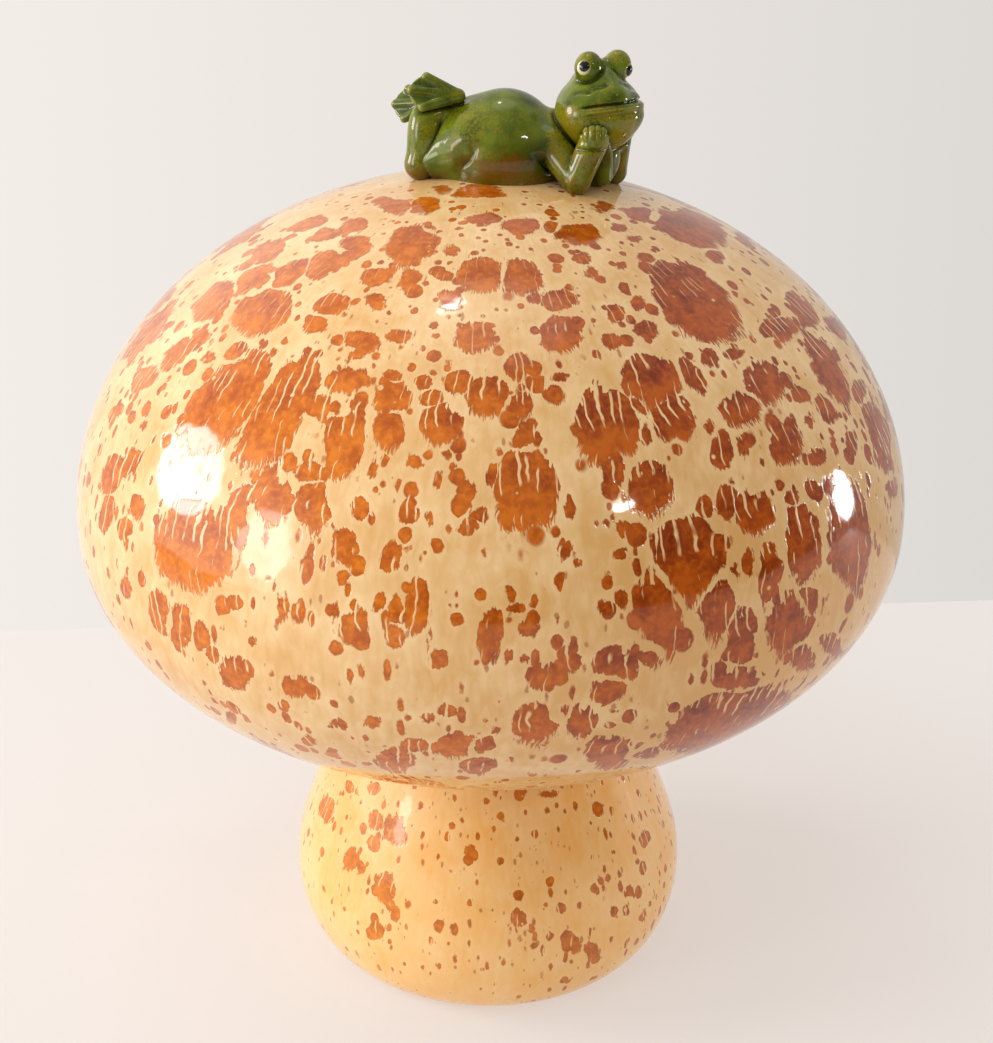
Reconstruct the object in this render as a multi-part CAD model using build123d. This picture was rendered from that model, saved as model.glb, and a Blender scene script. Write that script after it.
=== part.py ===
"""Ceramic mushroom ornament: a hollow glazed cap that lifts off a hollow stem, with a frog lying on top.

Millimetres, +Z up. The origin is the centre of the foot, on the surface that the ornament stands on.
The frog lies along +X, and its right side faces -Y.
"""
import os
from math import asin, atan2, cos, degrees, radians, sin, sqrt

from build123d import *

# Cap: a hollow casting, half of an ellipse above its widest line and half of a flatter one below
cap_radius = 127.0
crown_height = 100.0
underside_depth = 76.0
cap_wall = 6.0
seat_radius = 43.0

# Stem: a hollow casting that swells over a rounded foot
stem_height = 87.5
shoulder_radius = 46.0
shoulder_flare = 6.0
shoulder_handle = 0.35
belly_radius = 66.5
belly_height = 26.0
belly_handle = 0.3
foot_radius = 52.0
foot_ring_width = 7.0
base_recess = 3.0
stem_wall = 6.0

# Neck: the rim of the hole that the stem was poured through, which keeps the cap in place
neck_radius = 34.0
neck_wall = 5.0
neck_height = 14.0
neck_clearance = 1.5

# Frog's torso, a rounded egg flattened where it lies on the cap
torso_length = 35.0
torso_radius = 16.3
torso_flat = 9.3
torso_x = 4.5
torso_y = -3.0

# Frog's head, turned from the line of the body towards its right side
head_turn = 65.0
head_width = 25.0
head_height = 21.0
head_ahead = 8.8
head_aside = 5.5
head_above = 11.0
muzzle_width = 23.0
muzzle_height = 15.0
muzzle_ahead = 4.5
muzzle_below = 1.5
neck_start_radius = 6.5
neck_end_radius = 7.0
neck_below = 4.0
eye_bump_radius = 4.3
eye_bump_spacing = 9.5
eye_bump_above = 11.0
eye_bump_ahead = 2.0
eye_radius = 2.7
eye_proud = 0.9
eye_turn = 50.0

# Frog's limbs: the radius at each joint, and how far elbows and knees are flattened on the cap
limb_flat = 0.6
shoulder_joint = 5.2
elbow_joint = 3.9
wrist_joint = 3.2
fist_radius = 3.9
finger_radius = 1.05
finger_tip_radius = 1.0
finger_length = 3.9
finger_count = 4
hip_joint = 7.0
knee_joint = 4.7
ankle_joint = 4.2
joint_step = 0.2

# Where the limbs' joints are, as x and y from the cap's axis and, off the cap, the height above its top
right_shoulder = (13.5, -11.0, 9.5)
right_elbow = (25.0, -19.0)
right_hand = (29.5, -20.0, 12.0)
left_shoulder = (19.0, 5.0, 9.0)
left_elbow = (38.5, -3.0)
left_hand = (39.0, -8.0, 9.5)
right_hip = (-3.0, -9.5, 6.5)
right_knee = (-19.5, -4.5)
right_ankle = (-16.5, -4.0, 17.0)
left_hip = (-3.0, 5.0, 6.5)
left_knee = (-18.5, 7.0)
left_ankle = (-18.0, 4.5, 16.0)
right_heel = (-7.0, -6.0, 22.0)
left_heel = (-14.0, 3.5, 19.5)

# Frog's webbed feet: three toes that fan out from the heel, with a thinner web between them
middle_toe_length = 15.5
side_toe_length = 13.0
toe_spread = 23.0
heel_radius = 2.6
toe_radius = 1.2
web_thickness = 1.8
web_reach = 0.94
web_notch = 0.86

# Heights and places that follow from the sizes above
equator_height = stem_height + underside_depth * sqrt(1 - (seat_radius / cap_radius) ** 2)
apex_height = equator_height + crown_height
stem_floor = base_recess + stem_wall
neck_bore = neck_radius - neck_wall
neck_top = stem_height + neck_height
standing = (Align.CENTER, Align.CENTER, Align.MIN)


def cap_top(x, y):
    """Height of the cap's surface above a point of its plan."""
    return equator_height + crown_height * sqrt(1 - (x * x + y * y) / cap_radius ** 2)


def perch(x, y, rise):
    """A point given by its height above the top of the cap."""
    return Vector(x, y, apex_height + rise)


def resting(x, y, radius):
    """Centre of a ball that lies on the cap, slightly flattened."""
    return Vector(x, y, cap_top(x, y) + radius - limb_flat)


def spin(*edges):
    """Solid of revolution about +Z from a closed outline in the XZ plane."""
    return revolve(Plane.XZ * make_face(edges), axis=Axis.Z)


def ellipse_arc(centre, half_width, half_height, start, end):
    """Arc of an ellipse between two angles in degrees, as one rational curve of weight cos(half the turn)."""
    half_turn = radians(end - start) / 2
    points = []
    for angle, reach in ((start, 1), ((start + end) / 2, 1 / cos(half_turn)), (end, 1)):
        across = half_width * reach * cos(radians(angle))
        up = half_height * reach * sin(radians(angle))
        points.append((centre[0] + across, centre[1] + up))
    return Bezier(*points, weights=[1, cos(half_turn), 1])


def spheroid(half_length, radius):
    """Ball stretched along +Z, centred on the origin."""
    lower = ellipse_arc((0, 0), radius, half_length, -90, 0)
    upper = ellipse_arc((0, 0), radius, half_length, 0, 90)
    return spin(lower, upper, Line(upper @ 1, lower @ 0))


def limb(start, end, start_radius, end_radius):
    """Round limb: a ball at each end and the cone that touches both."""
    along = end - start
    lean = asin((start_radius - end_radius) / along.length)
    first_ball = CenterArc((0, 0), start_radius, -90, 90 + degrees(lean))
    last_ball = CenterArc((0, along.length), end_radius, degrees(lean), 90 - degrees(lean))
    side = Line(first_ball @ 1, last_ball @ 0)
    centre_line = Line(last_ball @ 1, first_ball @ 0)
    return Plane(origin=start, z_dir=along) * spin(first_ball, side, last_ball, centre_line)


def bent_limb(points, radii):
    """Limb through several joints, each stretch starting just inside the joint before it."""
    stretches = []
    for number, (start, end) in enumerate(zip(points, points[1:])):
        start_radius = radii[number] - joint_step * (number > 0)
        stretches.append(limb(start, end, start_radius, radii[number + 1]))
    return Part() + stretches


def stem_side(inset, bottom, top):
    """Edges of the stem's side from its foot to its shoulder, moved inwards by inset."""
    swell_centre = (foot_radius - inset, belly_height)
    swell = ellipse_arc(swell_centre, belly_radius - foot_radius, belly_height - bottom, -90, 0)
    rise = top - belly_height
    lower_handle = (belly_radius - inset, belly_height + belly_handle * rise)
    upper_handle = (shoulder_radius + shoulder_flare - inset, top - shoulder_handle * rise)
    taper = Bezier(swell @ 1, lower_handle, upper_handle, (shoulder_radius - inset, top))
    return swell, taper


def make_stem():
    """Hollow stem with a ground foot ring, a flat shoulder and the neck standing on it."""
    swell, taper = stem_side(0, 0, stem_height)
    rim = Polyline(
        taper @ 1,
        (neck_radius, stem_height),
        (neck_radius, neck_top),
        (0, neck_top),
        (0, 0),
        swell @ 0,
    )
    inner_swell, inner_taper = stem_side(stem_wall, stem_floor, stem_height - stem_wall)
    inner_rim = Polyline(
        inner_taper @ 1,
        (neck_bore, stem_height - stem_wall),
        (neck_bore, neck_top),
        (0, neck_top),
        (0, stem_floor),
        inner_swell @ 0,
    )
    recess = Cylinder(foot_radius - foot_ring_width, base_recess, align=standing)
    return spin(swell, taper, rim) - spin(inner_swell, inner_taper, inner_rim) - recess


def dome(radius, crown, depth, floor):
    """Half an ellipse over half of a flatter one, cut flat at the height of its floor."""
    floor_angle = -degrees(asin((equator_height - floor) / depth))
    under = ellipse_arc((0, equator_height), radius, depth, floor_angle, 0)
    over = ellipse_arc((0, equator_height), radius, crown, 0, 90)
    return spin(under, over, Polyline(over @ 1, (0, floor), under @ 0))


def make_cap():
    """Hollow cap with a flat seat and a round socket that drops over the neck."""
    hollow = dome(
        cap_radius - cap_wall,
        crown_height - cap_wall,
        underside_depth - cap_wall,
        stem_height + cap_wall,
    )
    socket = Pos(0, 0, stem_height) * Cylinder(neck_radius + neck_clearance, cap_wall, align=standing)
    return cap_solid - hollow - socket


def make_head():
    """Skull, muzzle and eye bumps, with the neck that joins them to the torso."""
    skull = Rot(90, 0, 0) * spheroid(head_width / 2, head_height / 2)
    muzzle = Rot(90, 0, 0) * spheroid(muzzle_width / 2, muzzle_height / 2)
    muzzle = Pos(muzzle_ahead, 0, -muzzle_below) * muzzle
    bumps = [Pos(*eye_bump(side)) * Sphere(eye_bump_radius) for side in (-1, 1)]
    nape = head_centre - Vector(0, 0, neck_below)
    collar = torso_centre + Vector(torso_length / 4, 0, 0)
    neck = limb(nape, collar, neck_start_radius, neck_end_radius)
    return head_plane * (skull + muzzle + bumps) + neck


def eye_bump(side):
    """Centre of an eye bump in the head's own frame: ahead, to its left, up."""
    return Vector(eye_bump_ahead, side * eye_bump_spacing / 2, eye_bump_above)


def make_eyes():
    """Two domes on the eye bumps, each the part of a ball that stands out of its bump."""
    reach = eye_bump_radius + eye_proud - eye_radius
    ring_height = (eye_bump_radius ** 2 - eye_radius ** 2 + reach ** 2) / (2 * reach)
    ring_radius = sqrt(eye_bump_radius ** 2 - ring_height ** 2)
    bump_angle = degrees(atan2(ring_height, ring_radius))
    ball_angle = degrees(atan2(ring_height - reach, ring_radius))
    seat = CenterArc((0, 0), eye_bump_radius, bump_angle, 90 - bump_angle)
    dome_line = CenterArc((0, reach), eye_radius, ball_angle, 90 - ball_angle)
    eye = spin(seat, dome_line, Line(seat @ 1, dome_line @ 1))
    domes = []
    for side in (-1, 1):
        outwards = Vector(cos(radians(eye_turn)), side * sin(radians(eye_turn)), 0)
        domes.append(head_plane * Plane(origin=eye_bump(side), z_dir=outwards) * eye)
    return Part() + domes


def make_arm(shoulder, elbow, hand, knuckles):
    """Upper arm and forearm that end in a fist, with fingers curled side by side along the knuckles."""
    palm = perch(*hand)
    joints = [perch(*shoulder), resting(*elbow, elbow_joint), palm]
    arm = bent_limb(joints, [shoulder_joint, elbow_joint, wrist_joint])
    fingers = []
    for number in range(finger_count):
        across = (2 * number / (finger_count - 1) - 1) * (fist_radius - finger_radius)
        front = Vector(across, -sqrt(fist_radius ** 2 - across ** 2), 0)
        curl = Vector(0, 0, finger_length / 2)
        fingers.append(limb(front - curl, front + curl, finger_radius, finger_tip_radius))
    wrist = Plane(origin=palm, x_dir=knuckles, z_dir=palm - joints[1])
    return arm + wrist * (Sphere(fist_radius) + fingers)


def make_leg(hip, knee, ankle):
    """Thigh along the cap and shin up from the knee."""
    joints = [perch(*hip), resting(*knee, knee_joint), perch(*ankle)]
    return bent_limb(joints, [hip_joint, knee_joint, ankle_joint])


def make_foot(heel, towards, facing):
    """Webbed foot: toes that taper from the heel, and the notched web that joins them."""
    sole = Plane(origin=perch(*heel), x_dir=towards, z_dir=facing)
    tips = []
    lengths = (side_toe_length, middle_toe_length, side_toe_length)
    for turn, length in zip((-toe_spread, 0, toe_spread), lengths):
        tips.append(Vector(length * cos(radians(turn)), length * sin(radians(turn)), 0))
    toes = []
    for number, tip in enumerate(tips):
        toes.append(limb(Vector(0, 0, 0), tip, heel_radius - joint_step * number, toe_radius))
    first, middle, last = [tip * web_reach for tip in tips]
    first_notch = (first + middle) * (web_notch / 2)
    last_notch = (middle + last) * (web_notch / 2)
    outline = Polyline((0, 0), first, first_notch, middle, last_notch, last, close=True)
    web = extrude(make_face(outline), web_thickness / 2, both=True)
    return sole * (Part() + toes + web)


# The cap and the stem
cap_solid = dome(cap_radius, crown_height, underside_depth, stem_height)
stem = make_stem()
cap = make_cap()

# The frog's torso and head, each cut by what it lies on
torso_centre = perch(torso_x, torso_y, torso_radius - torso_flat)
egg = Pos(*torso_centre) * Rot(0, 90, 0) * spheroid(torso_length / 2, torso_radius)
torso = egg - cap_solid
head_centre = torso_centre + Vector(torso_length / 2 + head_ahead, -head_aside, head_above)
head_ways = Vector(cos(radians(head_turn)), -sin(radians(head_turn)), 0)
head_plane = Plane(origin=head_centre, x_dir=head_ways, z_dir=(0, 0, 1))
head = make_head() - egg - cap_solid
eyes = make_eyes()

# The arms: elbows on the cap, fists under the jaw
right_arm = make_arm(right_shoulder, right_elbow, right_hand, knuckles=Vector(1, 0, 0))
left_arm = make_arm(left_shoulder, left_elbow, left_hand, knuckles=head_plane.y_dir)

# The legs: knees on the cap, shins up and feet crossed in the air
right_leg = make_leg(right_hip, right_knee, right_ankle)
left_leg = make_leg(left_hip, left_knee, left_ankle)
right_foot = make_foot(right_heel, towards=(-1.0, -0.1, 0.16), facing=(0.0, -0.9, 0.4))
left_foot = make_foot(left_heel, towards=(-1.0, 0.0, -0.14), facing=(-0.3, -0.85, 0.4))

# What meets is cut by what carries it
right_arm = right_arm - cap_solid - egg - head
left_arm = left_arm - cap_solid - egg - head - right_arm
right_leg = right_leg - cap_solid - egg
left_leg = left_leg - cap_solid - egg - right_leg
right_foot = right_foot - egg - right_leg - left_leg
left_foot = left_foot - egg - right_leg - left_leg - right_foot

nodes = {
    "stem": stem,
    "cap": cap,
    "frog_torso": torso,
    "frog_head": head,
    "frog_eyes": eyes,
    "frog_right_arm": right_arm,
    "frog_left_arm": left_arm,
    "frog_right_leg": right_leg,
    "frog_left_leg": left_leg,
    "frog_right_foot": right_foot,
    "frog_left_foot": left_foot,
}

os.makedirs("parts", exist_ok=True)
for name, shape in nodes.items():
    export_step(shape, f"parts/{name}.step")
    print(name, len(shape.solids()), round(shape.volume))
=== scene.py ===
# %% [markdown]
# # A glazed mushroom with a frog
# The ornament is two slip castings, a cap and a stem, and a small frog that was fired onto the cap. The
# solids already stand in the scene as a fixed frame. Here each casting gets a denser skin that can carry
# the glaze, the frog becomes one softened figure, and the studio is set up as in the photograph.

# %% Load the frame
from types import SimpleNamespace

import bpy
import numpy as np
from mathutils import Matrix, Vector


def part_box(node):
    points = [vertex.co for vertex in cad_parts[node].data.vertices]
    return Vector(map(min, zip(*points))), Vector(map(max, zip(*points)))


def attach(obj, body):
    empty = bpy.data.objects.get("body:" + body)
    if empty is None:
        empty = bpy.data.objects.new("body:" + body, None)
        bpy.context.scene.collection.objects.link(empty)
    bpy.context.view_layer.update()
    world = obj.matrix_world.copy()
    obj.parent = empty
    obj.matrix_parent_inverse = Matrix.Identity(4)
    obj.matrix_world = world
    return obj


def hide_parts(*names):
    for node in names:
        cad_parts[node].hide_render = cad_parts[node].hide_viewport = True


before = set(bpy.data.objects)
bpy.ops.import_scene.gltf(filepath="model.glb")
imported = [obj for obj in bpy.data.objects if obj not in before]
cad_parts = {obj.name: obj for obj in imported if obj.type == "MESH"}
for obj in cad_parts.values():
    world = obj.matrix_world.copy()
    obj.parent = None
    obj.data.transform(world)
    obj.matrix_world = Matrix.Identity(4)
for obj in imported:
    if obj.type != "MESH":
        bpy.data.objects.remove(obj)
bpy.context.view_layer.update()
MM = 0.001

# %% [markdown]
# ## The camera
# The photograph was taken from a little above the cap and close to it. The camera's place, its three turns
# and its focal length were found by fitting the outline of cap and stem. The picture is cropped, so the
# lens axis isn't in its middle: a small shift puts it back.

# %% Camera
PHOTO_WIDTH = 993
PHOTO_HEIGHT = 1043
FOCAL_LENGTH_PX = 1500.0
LENS_AXIS_PX = np.array([440.0, 560.0])
CAMERA_PLACE = np.array([0.0, -443.9, 333.9])
CAMERA_DOWN, CAMERA_ROLL, CAMERA_YAW = np.radians([24.11, -0.86, 1.97])


def camera_axes(down, roll, yaw):
    """Right, up and forward: level axes turned by yaw, tipped down, then rolled about the line of sight."""
    level_right = np.array([np.cos(yaw), np.sin(yaw), 0.0])
    level_forward = np.array([-np.sin(yaw), np.cos(yaw), 0.0])
    upright = np.array([0.0, 0.0, 1.0])
    forward = level_forward * np.cos(down) - upright * np.sin(down)
    level_up = level_forward * np.sin(down) + upright * np.cos(down)
    right = level_right * np.cos(roll) + level_up * np.sin(roll)
    up = level_up * np.cos(roll) - level_right * np.sin(roll)
    return np.array([right, up, forward])


def to_pixels(points):
    """Where points in mm fall in the photograph: focal length times offset over depth, from the lens axis."""
    right, up, depth = np.moveaxis((points - CAMERA_PLACE) @ sight.T, -1, 0)
    across = LENS_AXIS_PX[0] + FOCAL_LENGTH_PX * right / depth
    down = LENS_AXIS_PX[1] - FOCAL_LENGTH_PX * up / depth
    return across, down, depth / FOCAL_LENGTH_PX


sight = camera_axes(CAMERA_DOWN, CAMERA_ROLL, CAMERA_YAW)
lens = bpy.data.cameras.new("photo_camera")
lens.sensor_width = 36.0
lens.lens = lens.sensor_width * FOCAL_LENGTH_PX / PHOTO_HEIGHT
lens.shift_x = (PHOTO_WIDTH / 2 - LENS_AXIS_PX[0]) / PHOTO_HEIGHT
lens.shift_y = (LENS_AXIS_PX[1] - PHOTO_HEIGHT / 2) / PHOTO_HEIGHT
camera = bpy.data.objects.new("photo_camera", lens)
camera_turn = np.column_stack([sight[0], sight[1], -sight[2]])
camera.matrix_world = Matrix.Translation(CAMERA_PLACE * MM) @ Matrix(camera_turn.tolist()).to_4x4()
bpy.context.collection.objects.link(camera)
bpy.context.scene.camera = camera
print("lens", round(lens.lens, 1), "mm, shift", round(lens.shift_x, 3), round(lens.shift_y, 3))

# %% [markdown]
# ## Helpers for colours and nodes
# Colours are written as they look on a screen and turned to linear light once. One function adds any
# shader node, so a material below reads as a list of what it is mixed from.


# %% Colours and nodes
def linear(hex_colour, alpha=1.0):
    """Linear RGBA of an sRGB hex colour: c / 12.92 near black, otherwise ((c + 0.055) / 1.055) ** 2.4."""
    srgb = np.array([int(hex_colour[i:i + 2], 16) for i in (1, 3, 5)]) / 255
    light = np.where(srgb <= 0.04045, srgb / 12.92, ((srgb + 0.055) / 1.055) ** 2.4)
    return (*light.tolist(), alpha)


def add(tree, kind, inputs=(), **settings):
    """Adds one node with its settings; each input, by place or by name, is a value or the socket that it is
    linked from."""
    node = tree.nodes.new("ShaderNode" + kind)
    for name, value in settings.items():
        setattr(node, name, value)
    for name, value in inputs.items() if isinstance(inputs, dict) else enumerate(inputs):
        if isinstance(value, bpy.types.NodeSocket):
            tree.links.new(value, node.inputs[name])
        else:
            node.inputs[name].default_value = value
    return node.outputs


def new_material(name):
    """An empty node material and its tree."""
    material = bpy.data.materials.new(name)
    material.use_nodes = True
    material.node_tree.nodes.clear()
    return material, material.node_tree


print("cream in linear light:", [round(c, 3) for c in linear("#e3b67c")])

# %% [markdown]
# ## The studio
# A pale board in a bright, even room. A glaze shows its surroundings, so parts of the room are brighter to a
# mirror ray than to the camera. Five soft boxes stand where the highlights on the cap say that they stood,
# and two bounce panels, which the glaze doesn't mirror, fill in the shadows.

# %% Floor
TABLE_HALF_WIDTH = 2500.0
TABLE_FRONT = -2500.0
TABLE_END = 233.0
TABLE_SKEW = np.radians(4.07)
FLOOR_GLOW = 0.49

floor_mesh = bpy.data.meshes.new("floor")
rise = TABLE_HALF_WIDTH * np.tan(TABLE_SKEW)
corners = np.array([
    [-TABLE_HALF_WIDTH, TABLE_FRONT, 0], [TABLE_HALF_WIDTH, TABLE_FRONT, 0],
    [TABLE_HALF_WIDTH, TABLE_END + rise, 0], [-TABLE_HALF_WIDTH, TABLE_END - rise, 0]])
floor_mesh.from_pydata((corners * MM).tolist(), [], [[0, 1, 2, 3]])
floor = bpy.data.objects.new("floor", floor_mesh)
bpy.context.collection.objects.link(floor)

# Painted board: matt warm grey, lifted by an even glow that stands for the light from all round the room
board, tree = new_material("painted_board")
surface = add(tree, "BsdfPrincipled", {
    "Base Color": linear("#a09c99"), "Roughness": 0.7, "Specular IOR Level": 0.2,
    "Emission Color": linear("#fff8f3"), "Emission Strength": FLOOR_GLOW})
add(tree, "OutputMaterial", {"Surface": surface[0]})
floor_mesh.materials.append(board)
print("the floor ends", TABLE_END, "mm behind the axis")

# %% Room
ROOM_LEFT = "#faf3ed"
ROOM_RIGHT = "#d6d3cf"
ROOM_FRONT = 0.12
# Parts of the room that are brighter than its front, the top, the back and the left: axis of the ray's
# direction, its value where the part starts and where it is full, and how much the part adds
ROOM_PARTS = (("Z", 0.0, 1.0, 0.4), ("Y", -0.3, 0.5, 0.75), ("X", 0.2, -1.0, 0.35))
# Parts that are brighter still, to a mirror ray alone: turn from the viewer towards the right and height
# angle of the middle, angle out to the end and to the full glow in degrees, and strength
BRIGHT_PARTS = {
    "left_wall": (-72.0, 5.0, 38.0, 10.0, 2.4),
    "left_corner": (-135.0, 28.0, 30.0, 12.0, 0.8),
    "ceiling": (180.0, 82.0, 18.0, 12.0, 1.2),
}


def towards_angles(turn, height):
    """Unit direction at a turn from the viewer towards the right and a height angle, both in degrees."""
    turn, height = np.radians([turn, height])
    return np.array([np.sin(turn) * np.cos(height), -np.cos(turn) * np.cos(height), np.sin(height)])


world = bpy.data.worlds.new("bright_room")
world.use_nodes = True
tree = world.node_tree
tree.nodes.clear()
ray = add(tree, "LightPath")
direction = add(tree, "TexCoord")["Object"]
towards = add(tree, "SeparateXYZ", [direction])
across = add(tree, "MapRange", [towards["X"], -0.5, 0.5])[0]
wall = add(tree, "Mix", {0: across, 6: linear(ROOM_LEFT), 7: linear(ROOM_RIGHT)}, data_type="RGBA")[2]
level = ROOM_FRONT
for axis, start, end, share in ROOM_PARTS:
    part = add(tree, "MapRange", [towards[axis], start, end, 0.0, share], interpolation_type="SMOOTHSTEP")[0]
    level = add(tree, "Math", [level, part], operation="ADD")[0]
level = add(tree, "Math", [level, ray["Is Camera Ray"]], operation="MAXIMUM")[0]
level = add(tree, "Math", [level, 1.0], operation="MINIMUM")[0]

glow = 0.0
for turn, height, outer, inner, strength in BRIGHT_PARTS.values():
    middle = towards_angles(turn, height)
    part = add(tree, "VectorMath", [direction, middle], operation="DOT_PRODUCT")["Value"]
    outer, inner = np.cos(np.radians([outer, inner]))
    part = add(tree, "MapRange", [part, outer, inner, 0.0, strength], interpolation_type="SMOOTHSTEP")[0]
    glow = add(tree, "Math", [glow, part], operation="ADD")[0]
level = add(tree, "Math", [glow, ray["Is Glossy Ray"], level], operation="MULTIPLY_ADD")[0]
room = add(tree, "Background", {"Color": wall, "Strength": level})
add(tree, "OutputWorld", {"Surface": room[0]})
bpy.context.scene.world = world
print("room:", len(tree.nodes), "nodes")

# %% Soft boxes
AIM_HEIGHT = 190.0
LIGHT_DISTANCE = 1500.0
# Each light: turn from the viewer towards the right and height angle in degrees, width and height in mm, and
# watts
SOFT_BOXES = {
    "left_window": (-89.0, 17.0, 640.0, 580.0, 11.0),
    "front_left_window": (-57.0, 11.0, 400.0, 560.0, 3.5),
    "right_window": (103.0, 1.0, 190.0, 300.0, 4.0),
    "front_right_lamp": (38.0, 31.0, 150.0, 80.0, 1.0),
    "ceiling_lamp": (-150.0, 77.0, 130.0, 90.0, 0.6),
    "front_bounce": (-12.0, 22.0, 900.0, 500.0, 1.2),
    "ceiling_bounce": (-40.0, 55.0, 1500.0, 1500.0, 7.8),
}

for name, (turn, height, width, tall, watts) in SOFT_BOXES.items():
    outwards = towards_angles(turn, height)
    lamp = bpy.data.lights.new(name, "AREA")
    lamp.shape = "ELLIPSE"
    lamp.size = width * MM
    lamp.size_y = tall * MM
    lamp.energy = watts
    box = bpy.data.objects.new(name, lamp)
    side = np.cross([0.0, 0.0, 1.0], outwards)
    side = side / np.linalg.norm(side)
    turned_box = np.column_stack([side, np.cross(outwards, side), outwards])
    aim = outwards * LIGHT_DISTANCE + [0, 0, AIM_HEIGHT]
    box.matrix_world = Matrix.Translation(aim * MM) @ Matrix(turned_box.tolist()).to_4x4()
    box.visible_glossy = "bounce" not in name
    bpy.context.collection.objects.link(box)
bpy.context.scene.view_settings.view_transform = "Standard"
print("lights:", ", ".join(SOFT_BOXES))

# %% [markdown]
# ## The cap and the stem: turned shells
# Both castings are round, so each is one closed outline turned about the axis: out over the glazed side, in
# under the rim and back along the hollow. A grid of rows and turns is fine enough to carry the glaze as
# values at its points, which a finished solid from CAD is not.

# %% Outlines
SEAT_RADIUS = 43.0
CROWN_HEIGHT = 100.0
WALL = 6.0
SOCKET_RADIUS = 35.5
NECK_RADIUS = 34.0
NECK_BORE = 29.0
SHOULDER_RADIUS = 46.0
SHOULDER_FLARE = 6.0
SHOULDER_HANDLE = 0.35
BELLY_HEIGHT = 26.0
BELLY_HANDLE = 0.3
FOOT_RADIUS = 52.0
FOOT_RING = 7.0
BASE_RECESS = 3.0
ROW_STEP = 1.55
HIDDEN_STEP = 8.0

cap_low, cap_high = (np.array(corner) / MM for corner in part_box("cap"))
stem_high = np.array(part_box("stem")[1]) / MM
cap_radius, apex, seat = cap_high[0], cap_high[2], cap_low[2]
belly_radius, neck_top = stem_high[0], stem_high[2]
equator = apex - CROWN_HEIGHT
underside = (equator - seat) / np.sqrt(1 - (SEAT_RADIUS / cap_radius) ** 2)


def even(curve, step):
    """Points a steady step apart along a curve, by interpolating over its length."""
    length = np.r_[0, np.cumsum(np.hypot(*np.diff(curve, axis=0).T))]
    stops = np.linspace(0, length[-1], max(2, int(round(length[-1] / step)) + 1))
    return np.column_stack([np.interp(stops, length, curve[:, axis]) for axis in (0, 1)])


def dome_line(radius, crown, depth, floor):
    """Outline of a dome from its top down: a quarter of an ellipse, then a flatter one down to its floor."""
    over = np.linspace(np.pi / 2, 0, 400)
    under = np.linspace(0, -np.arcsin((equator - floor) / depth), 400)[1:]
    rise = np.r_[crown * np.sin(over), depth * np.sin(under)]
    return np.column_stack([radius * np.cos(np.r_[over, under]), equator + rise])


def stem_line(inset, bottom, top):
    """Outline of the stem's side from its shoulder down: a cubic curve, then a quarter of an ellipse."""
    t = np.linspace(0, 1, 300)[:, None]
    rise = top - BELLY_HEIGHT
    shoulder = np.array([SHOULDER_RADIUS - inset, top])
    upper = np.array([SHOULDER_RADIUS + SHOULDER_FLARE - inset, top - SHOULDER_HANDLE * rise])
    lower = np.array([belly_radius - inset, BELLY_HEIGHT + BELLY_HANDLE * rise])
    belly = np.array([belly_radius - inset, BELLY_HEIGHT])
    side = (1 - t) ** 3 * shoulder + 3 * t * (1 - t) ** 2 * upper
    side = side + 3 * t * t * (1 - t) * lower + t ** 3 * belly
    turn = np.linspace(0, np.pi / 2, 100)[1:]
    out = FOOT_RADIUS - inset + (belly_radius - FOOT_RADIUS) * np.cos(turn)
    down = BELLY_HEIGHT - (BELLY_HEIGHT - bottom) * np.sin(turn)
    return np.vstack([side, np.column_stack([out, down])])


cap_side = even(dome_line(cap_radius, CROWN_HEIGHT, underside, seat), ROW_STEP)
cap_floor = seat + WALL
cap_hollow = even(dome_line(cap_radius - WALL, CROWN_HEIGHT - WALL, underside - WALL, cap_floor), HIDDEN_STEP)
cap_under = [[SOCKET_RADIUS, seat], [SOCKET_RADIUS, cap_floor]]
cap_line = np.vstack([cap_side, cap_under, cap_hollow[::-1]])
stem_side = even(stem_line(0, 0, seat), ROW_STEP / 2)
stem_hollow = even(stem_line(WALL, BASE_RECESS + WALL, seat - WALL), HIDDEN_STEP)
neck = [[NECK_BORE, seat - WALL], [NECK_BORE, neck_top], [NECK_RADIUS, neck_top], [NECK_RADIUS, seat]]
foot = [[FOOT_RADIUS - FOOT_RING, 0], [FOOT_RADIUS - FOOT_RING, BASE_RECESS], [0, BASE_RECESS]]
stem_line_all = np.vstack([[[0, BASE_RECESS + WALL]], stem_hollow[::-1], neck, stem_side, foot])
print("cap outline:", len(cap_line), "points, stem outline:", len(stem_line_all), "points")

# %% Turned shells
CAP_TURNS = 400
STEM_TURNS = 320
FRONT_SHARE = 0.4
SHARP_ANGLE = np.radians(35)


def link_piece(name, vertices, faces, material_index=None):
    """Puts vertices in mm and faces into a new smooth object at the origin."""
    mesh = bpy.data.meshes.new(name)
    mesh.from_pydata((vertices * MM).tolist(), [], faces)
    mesh.polygons.foreach_set("use_smooth", np.ones(len(mesh.polygons), bool))
    if material_index is not None:
        mesh.polygons.foreach_set("material_index", material_index)
    mesh.update()
    piece = bpy.data.objects.new(name, mesh)
    bpy.context.collection.objects.link(piece)
    return piece


def turn_angles(turns):
    """Angles round the axis, closer together at the front: the even angle less a share of its sine."""
    even_angle = 2 * np.pi * np.arange(turns) / turns
    return even_angle - FRONT_SHARE * np.sin(even_angle)


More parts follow.
